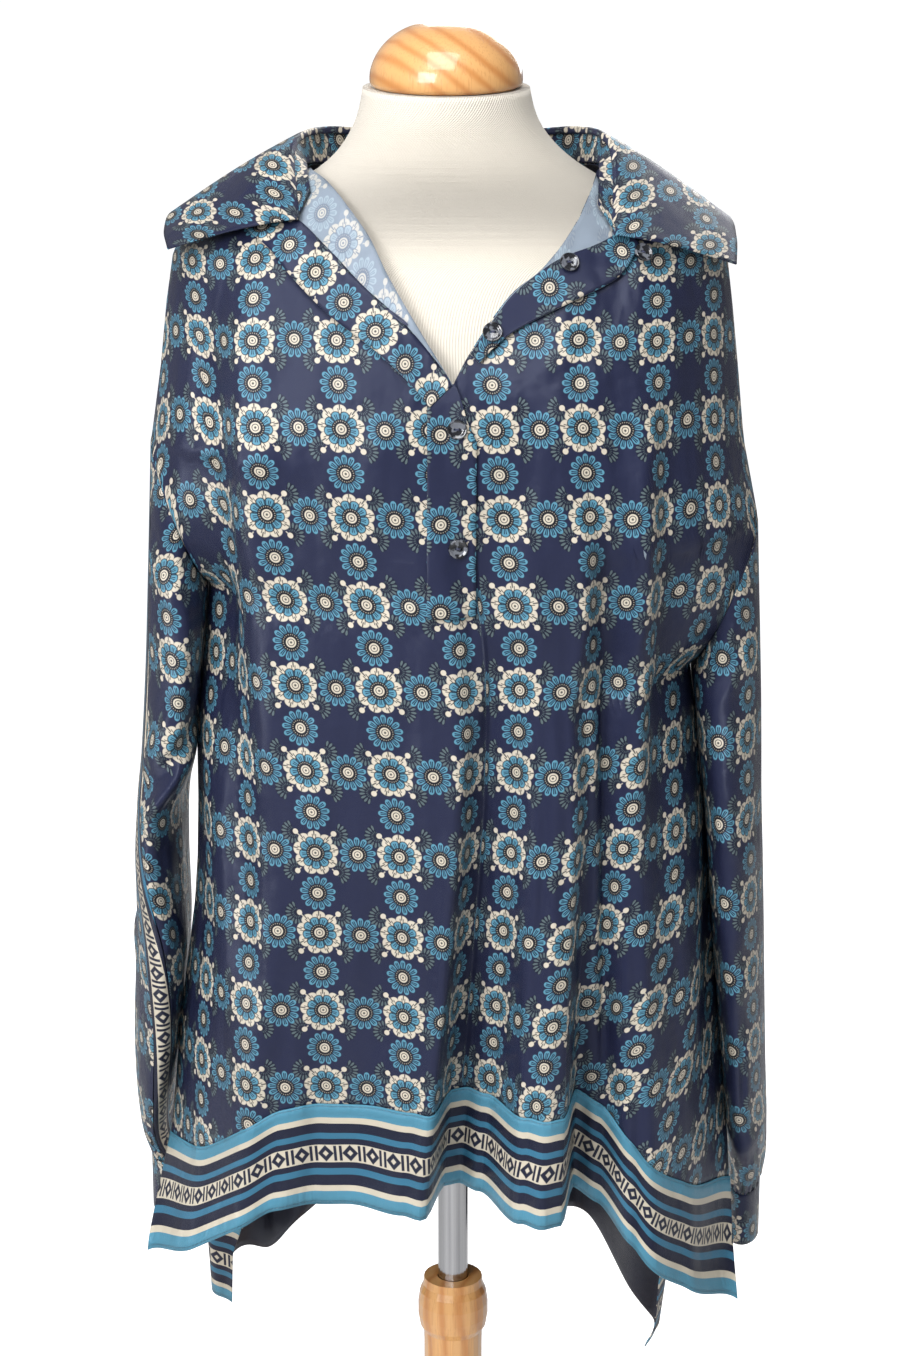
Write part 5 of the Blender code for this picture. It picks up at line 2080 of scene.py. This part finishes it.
@dataclass
class Placket:
    """The placket's box below the V, with the buttonhole, the buttons and their thread."""

    room: Workroom
    left: float = -0.0165
    foot_right: float = 0.0145
    foot: float = 1.1780
    top: tuple[EdgePoint, ...] = table(
        EdgePoint,
        (0.00, -0.0165, 1.3500), (0.45, -0.0010, 1.3275), (0.55, 0.0022, 1.3265),
        (0.75, 0.0062, 1.3150), (0.88, 0.0092, 1.3040), (1.00, 0.0152, 1.2915),
    )
    box_steps: tuple[int, int] = (60, 16)
    box_wall: float = 0.0014
    print_shift: tuple[float, float] = (-0.0373, 0.003)
    proud: float = 0.0021
    buttonhole: tuple[tuple[float, float], tuple[float, float]] = ((-0.0408, 1.3710), (-0.0290, 1.3625))
    cord_proud: float = 0.0014
    cord_half: float = 0.0007
    cord_radius: float = 0.00055
    cord_steps: tuple[int, int] = (40, 8)
    button_profile: tuple[tuple[float, float], ...] = (
        (0.0, 0.0016), (0.0036, 0.0016), (0.0044, 0.0019), (0.0052, 0.0026), (0.0058, 0.0027),
        (0.0063, 0.0023), (0.0065, 0.0014), (0.0062, 0.0005), (0.0054, 0.0), (0.0, 0.0),
    )
    hole_radius: float = 0.0009
    hole_apart: float = 0.0015
    thread_radius: float = 0.00014
    buttons: tuple[ButtonPlace, ...] = table(
        ButtonPlace,
        ("button_placket_top", 0.0026, 1.2995, 0.0029),
        ("button_placket_foot", 0.0026, 1.2232, 0.0029),
        ("button_lapel_top", 0.0740, 1.3985, 0.0037),
        ("button_lapel_foot", 0.0250, 1.3580, 0.0037),
        ("button_stand", 0.1214, 1.4025, 0.0038),
    )

    def box(self) -> None:
        """Builds the box."""
        rows, columns = self.box_steps
        across = np.linspace(0, 1, columns)
        keys = column(self.top, "share")
        top = np.stack([np.interp(across, keys, column(self.top, n)) for n in ("x", "height")], axis=-1)
        foot_x = self.left + (self.foot_right - self.left) * across
        foot = np.stack([foot_x, np.full_like(foot_x, self.foot)], axis=-1)
        points = np.array([
            [on_front(x, height, self.proud)[0] for x, height in top + (foot - top) * down]
            for down in np.linspace(0, 1, rows)
        ])
        uv = (points[..., 0] + self.print_shift[0], points[..., 2] + self.print_shift[1])
        cut = Sheet((0.032, 0.160), "laid", ["front_cloth"])
        self.room.cloth("placket", points, uv, cut, wall=self.box_wall)

    def worked_hole(self) -> None:
        """Builds the corded edge of the buttonhole in the left turned-back edge."""
        (x0, z0), (x1, z1) = self.buttonhole
        proud = PROUD + self.cord_proud
        middle, out = on_front((x0 + x1) / 2, (z0 + z1) / 2, proud)
        along = on_front(x1, z1, proud)[0] - on_front(x0, z0, proud)[0]
        reach = float(np.linalg.norm(along)) / 2
        along /= 2 * reach
        beside = np.cross(out, along)
        steps, cord_sides = self.cord_steps
        angles = 2 * math.pi * np.arange(cord_sides) / cord_sides
        rings = []
        for turn in 2 * math.pi * np.arange(steps) / steps:
            cos, sin = math.cos(turn), math.sin(turn)
            spot = middle + along * reach * cos + beside * self.cord_half * sin
            way = beside * math.copysign(1.0, sin) * abs(sin) ** 0.3 + along * cos**5
            way /= np.linalg.norm(way)
            ways = [way * math.cos(a) + out * math.sin(a) for a in angles]
            rings.append([spot + turned * self.cord_radius for turned in ways])
        rings.append(rings[0])
        plain = np.zeros((steps + 1, cord_sides + 1, 2))
        mesh = grid_mesh("buttonhole", np.array(rings), plain, closed=True, flip=False)
        self.room.piece("buttonhole_cord", mesh, [Look.THREAD], [], "print_satin")

    def button_mesh(self) -> Mesh:
        """A round button with a raised rim, a dished middle and two holes.

        Returns:
            The mesh.
        """
        net = turned_net(self.button_profile, 48)
        bmesh.ops.recalc_face_normals(net, faces=net.faces)
        blank = bpy.data.objects.new("blank", net_mesh("button", net))
        drills = bmesh.new()
        size = {"radius1": self.hole_radius, "radius2": self.hole_radius, "depth": 0.006}
        for side in (LEFT, RIGHT):
            made = bmesh.ops.create_cone(drills, cap_ends=True, segments=16, **size)
            bmesh.ops.translate(drills, verts=made["verts"], vec=(side * self.hole_apart, 0, 0.001))
        drill = bpy.data.objects.new("drill", net_mesh("drill", drills))
        for item in (blank, drill):
            self.room.group.objects.link(item)
        cut = blank.modifiers.new("holes", "BOOLEAN")
        cut.operation, cut.object, cut.solver = "DIFFERENCE", drill, "EXACT"
        graph = bpy.context.evaluated_depsgraph_get()
        mesh = bpy.data.meshes.new_from_object(blank.evaluated_get(graph))
        for item in (blank, drill):
            bpy.data.objects.remove(item, do_unlink=True)
        mesh.shade_smooth()
        mesh.set_sharp_from_angle(angle=math.radians(42))
        return mesh

    def thread_mesh(self) -> Mesh:
        """Four turns of thread that cross between the holes.

        Returns:
            The mesh.
        """
        net = bmesh.new()
        for row in range(4):
            off = (row - 1.5) * 2 * self.thread_radius
            rings = []
            for x in (-1.0, -0.7, -0.35, 0.0, 0.35, 0.7, 1.0):
                height = 0.0012 + 0.0008 * (1 - x * x)
                spot = Vector((self.hole_apart * x, off * (1 + 0.4 * abs(x)), height))
                angles = [k * math.pi / 3 for k in range(6)]
                ways = [Vector((0, math.cos(a), math.sin(a))) for a in angles]
                rings.append([net.verts.new(spot + way * self.thread_radius) for way in ways])
            for a, b in zip(rings, rings[1:]):
                for j in range(6):
                    net.faces.new((a[j], b[j], b[(j + 1) % 6], a[(j + 1) % 6]))
        return net_mesh("button_thread", net)

    def build(self) -> None:
        """Builds the box, the buttonhole and the buttons."""
        self.box()
        self.worked_hole()
        resin, thread = self.button_mesh(), self.thread_mesh()
        for place in self.buttons:
            spot, out = on_front(place.x, place.height, place.proud)
            matrix = Vector((0, 0, 1)).rotation_difference(Vector(out)).to_matrix().to_4x4()
            matrix.translation = Vector(spot)
            for mesh, suffix, look, nodes, slot in (
                (resin, "resin", Look.RESIN, [place.node], "button_resin"),
                (thread, "thread", Look.THREAD, [], "print_satin"),
            ):
                own = mesh.copy()
                own.transform(matrix)
                own.materials.clear()
                self.room.piece(f"{place.node}_{suffix}", own, [look], nodes, slot)


@dataclass
class DressForm:
    """The limbless form: its jersey body and turned neck cap."""

    room: Workroom
    sides: int = 144
    rings: int = 150
    inset: float = 0.0004
    smoothing: int = 10
    cap_shares: tuple[float, ...] = (0.02, 0.35, 0.7, 0.93)
    cap_x: float = -0.0045
    cap_foot: float = 1.5066
    cap_tilt: float = 0.07
    cap_profile: tuple[tuple[float, float], ...] = (
        (0.0000, 0.0420), (0.0120, 0.0413), (0.0240, 0.0386), (0.0350, 0.0328), (0.0440, 0.0240),
        (0.0490, 0.0150), (0.0508, 0.0075), (0.0502, 0.0015), (0.0485, 0.0000),
    )

    def skin(self) -> Array:
        """The jersey body's rows of points.

        Returns:
            The rows, from the middle of its foot to the middle of its top.
        """
        keys, shape = column(FORM_RINGS, "height"), np.array([ring[1:] for ring in FORM_RINGS])
        angle = 2 * math.pi * np.arange(self.sides) / self.sides
        c, s = np.cos(angle), np.sin(angle)
        rows = []
        for height in np.linspace(keys[0], keys[-1], self.rings):
            wide, front, back, square, tilt, centre = hermite(keys, shape, np.array(height))
            square = np.clip(square, 0, 1)
            x = centre + wide * np.sign(c) * np.abs(c) ** (1 - (1 - 2 / ROUNDNESS) * square)
            fullness = 1 + (2 * FULLNESS - 1) * square
            y = np.where(s > 0, back, front) * np.sign(s) * np.abs(s) ** fullness
            rows.append(np.stack([x, y, height + tilt * y], axis=-1))
        points = np.array(rows)
        for _ in range(self.smoothing):
            points[1:-1] = (points[:-2] + 2 * points[1:-1] + points[2:]) / 4
        points = points - unit(points - points.mean(axis=1, keepdims=True)) * self.inset
        ends = []
        for row in (points[0], points[-1]):
            middle = row.mean(axis=0)
            ends.append([middle + (row - middle) * share for share in self.cap_shares])
        return np.concatenate([np.array(ends[0]), points, np.array(ends[1][::-1])])

    def torso(self) -> None:
        """Builds the jersey body as one smooth skin with a closed foot and top."""
        points = self.skin()
        around = closed_row(points)
        u = arc_along(around, 1)
        v = np.broadcast_to(arc_along(around, 0).mean(axis=1)[:, None], u.shape)
        mesh = grid_mesh("form_skin", points, np.stack([u, v], axis=-1), closed=True, flip=True)
        net = bmesh.new()
        net.from_mesh(mesh)
        net.verts.ensure_lookup_table()
        last = len(points) * self.sides
        net.faces.new([net.verts[i] for i in range(self.sides)][::-1])
        net.faces.new([net.verts[i] for i in range(last - self.sides, last)])
        bmesh.ops.recalc_face_normals(net, faces=net.faces)
        net.to_mesh(mesh)
        net.free()
        mesh.shade_smooth()
        self.room.piece("form_skin", mesh, [Look.KNIT], ["form_torso"], "form_jersey")

    def cap(self) -> None:
        """Builds the turned neck cap."""
        mesh = lathe("cap_turning", self.cap_profile, 96)
        tilt = Vector((0, -self.cap_tilt, 1)).normalized()
        matrix = Vector((0, 0, 1)).rotation_difference(tilt).to_matrix().to_4x4()
        matrix.translation = (self.cap_x, 0, self.cap_foot)
        mesh.transform(matrix)
        self.room.piece("neck_cap_turning", mesh, [Look.CAP_PINE], ["neck_cap"], "pine")

    def build(self) -> None:
        """Builds the form."""
        self.torso()
        self.cap()


@dataclass
class Stand:
    """The pole, the wooden post with its ring, and the base."""

    room: Workroom

    def build(self) -> None:
        """Gives the stand's pieces, which keep their CAD shape, their finishes."""
        for node, look in (("post", Look.POST_PINE), ("base", Look.BASE_PINE), ("pole", Look.STEEL)):
            item = bpy.data.objects[node]
            item.data.materials.clear()
            item.data.materials.append(self.room.material(look))
            log.info("%s keeps its CAD shape", node)


class Lamp(NamedTuple):
    """A soft square lamp: its name, place, side and power."""

    name: str
    place: tuple[float, float, float]
    size: float
    power: float


@dataclass
class Studio:
    """Pale floor, soft light and the camera at the photograph's angle."""

    room: Workroom
    aim: float = 1.10
    distance: float = 2.0
    dip: float = math.radians(15)
    film: float = 36.0
    lens: float = 36 * 2857 / 1356
    shift: float = -1 / 1356
    floor_half: float = 400.0
    ambience: float = 0.36
    lean: float = 0.15
    lamps: tuple[Lamp, ...] = table(
        Lamp,
        ("key", (-1.25, -2.20, 2.15), 1.2, 54),
        ("top", (-0.2, -1.3, 3.3), 1.5, 46),
        ("behind", (0.7, 2.9, 2.4), 1.9, 42),
    )

    def placed(self, name: str, data: bpy.types.ID) -> Item:
        """Puts an object into the scene.

        Args:
            name: Its name.
            data: Its mesh, lamp or camera.

        Returns:
            The object.
        """
        item = bpy.data.objects.new(name, data)
        bpy.context.scene.collection.objects.link(item)
        return item

    def floor(self) -> None:
        """A large pale floor."""
        mesh, far = bpy.data.meshes.new("floor"), self.floor_half
        corners = [(-far, -far, 0), (far, -far, 0), (far, far, 0), (-far, far, 0)]
        mesh.from_pydata(corners, [], [(0, 1, 2, 3)])
        mesh.materials.append(self.room.material(Look.FLOOR))
        self.placed("floor", mesh)

    def light(self) -> None:
        """The lamps, and a pale surround that is brighter from the left and white to the camera."""
        for name, place, size, power in self.lamps:
            lamp = bpy.data.lights.new(name, "AREA")
            lamp.size, lamp.energy = size, power
            item = self.placed(name, lamp)
            item.location = place
            item.rotation_mode = "QUATERNION"
            way = Vector((0, 0, self.aim)) - Vector(place)
            item.rotation_quaternion = way.to_track_quat("-Z", "Y")
        world = bpy.data.worlds.new("studio")
        bpy.context.scene.world = world
        world.use_nodes = True
        painter = Painter(world.node_tree)
        coords = painter.node("ShaderNodeTexCoord").outputs["Generated"]
        rightward = painter.number("ShaderNodeSeparateXYZ", inputs={0: coords})
        seen = painter.number("ShaderNodeLightPath", "Is Camera Ray")
        glow = (rightward * -self.lean + self.ambience).either(seen)
        painter.feed_all(painter.tree.nodes["Background"], {0: (1, 1, 1), 1: glow})
        bpy.context.scene.view_settings.view_transform = "Standard"

    def camera(self) -> None:
        """The camera at the photograph's height, dip and lens."""
        camera = bpy.data.cameras.new("camera")
        camera.sensor_fit, camera.sensor_height = "VERTICAL", self.film
        camera.lens, camera.shift_x = self.lens, self.shift
        item = self.placed("camera", camera)
        back, up = self.distance * math.cos(self.dip), self.distance * math.sin(self.dip)
        item.location = (0, -back, self.aim + up)
        item.rotation_euler = (math.pi / 2 - self.dip, 0, 0)
        bpy.context.scene.camera = item

    def build(self) -> None:
        """Builds the studio."""
        self.floor()
        self.light()
        self.camera()


def main() -> None:
    """Builds every sub-assembly in order."""
    logging.basicConfig(level=logging.INFO, format="%(message)s")
    for item in list(bpy.data.objects):
        bpy.data.objects.remove(item, do_unlink=True)
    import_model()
    group = bpy.data.collections.new("dressed_blouse")
    bpy.context.scene.collection.children.link(group)
    room = Workroom(group)
    for kind in (DressForm, Stand, Body, Sleeves, Collar, Placket, Studio):
        kind(room).build()
        log.info("%s is done", kind.__name__)


if __name__ == "__main__":
    main()
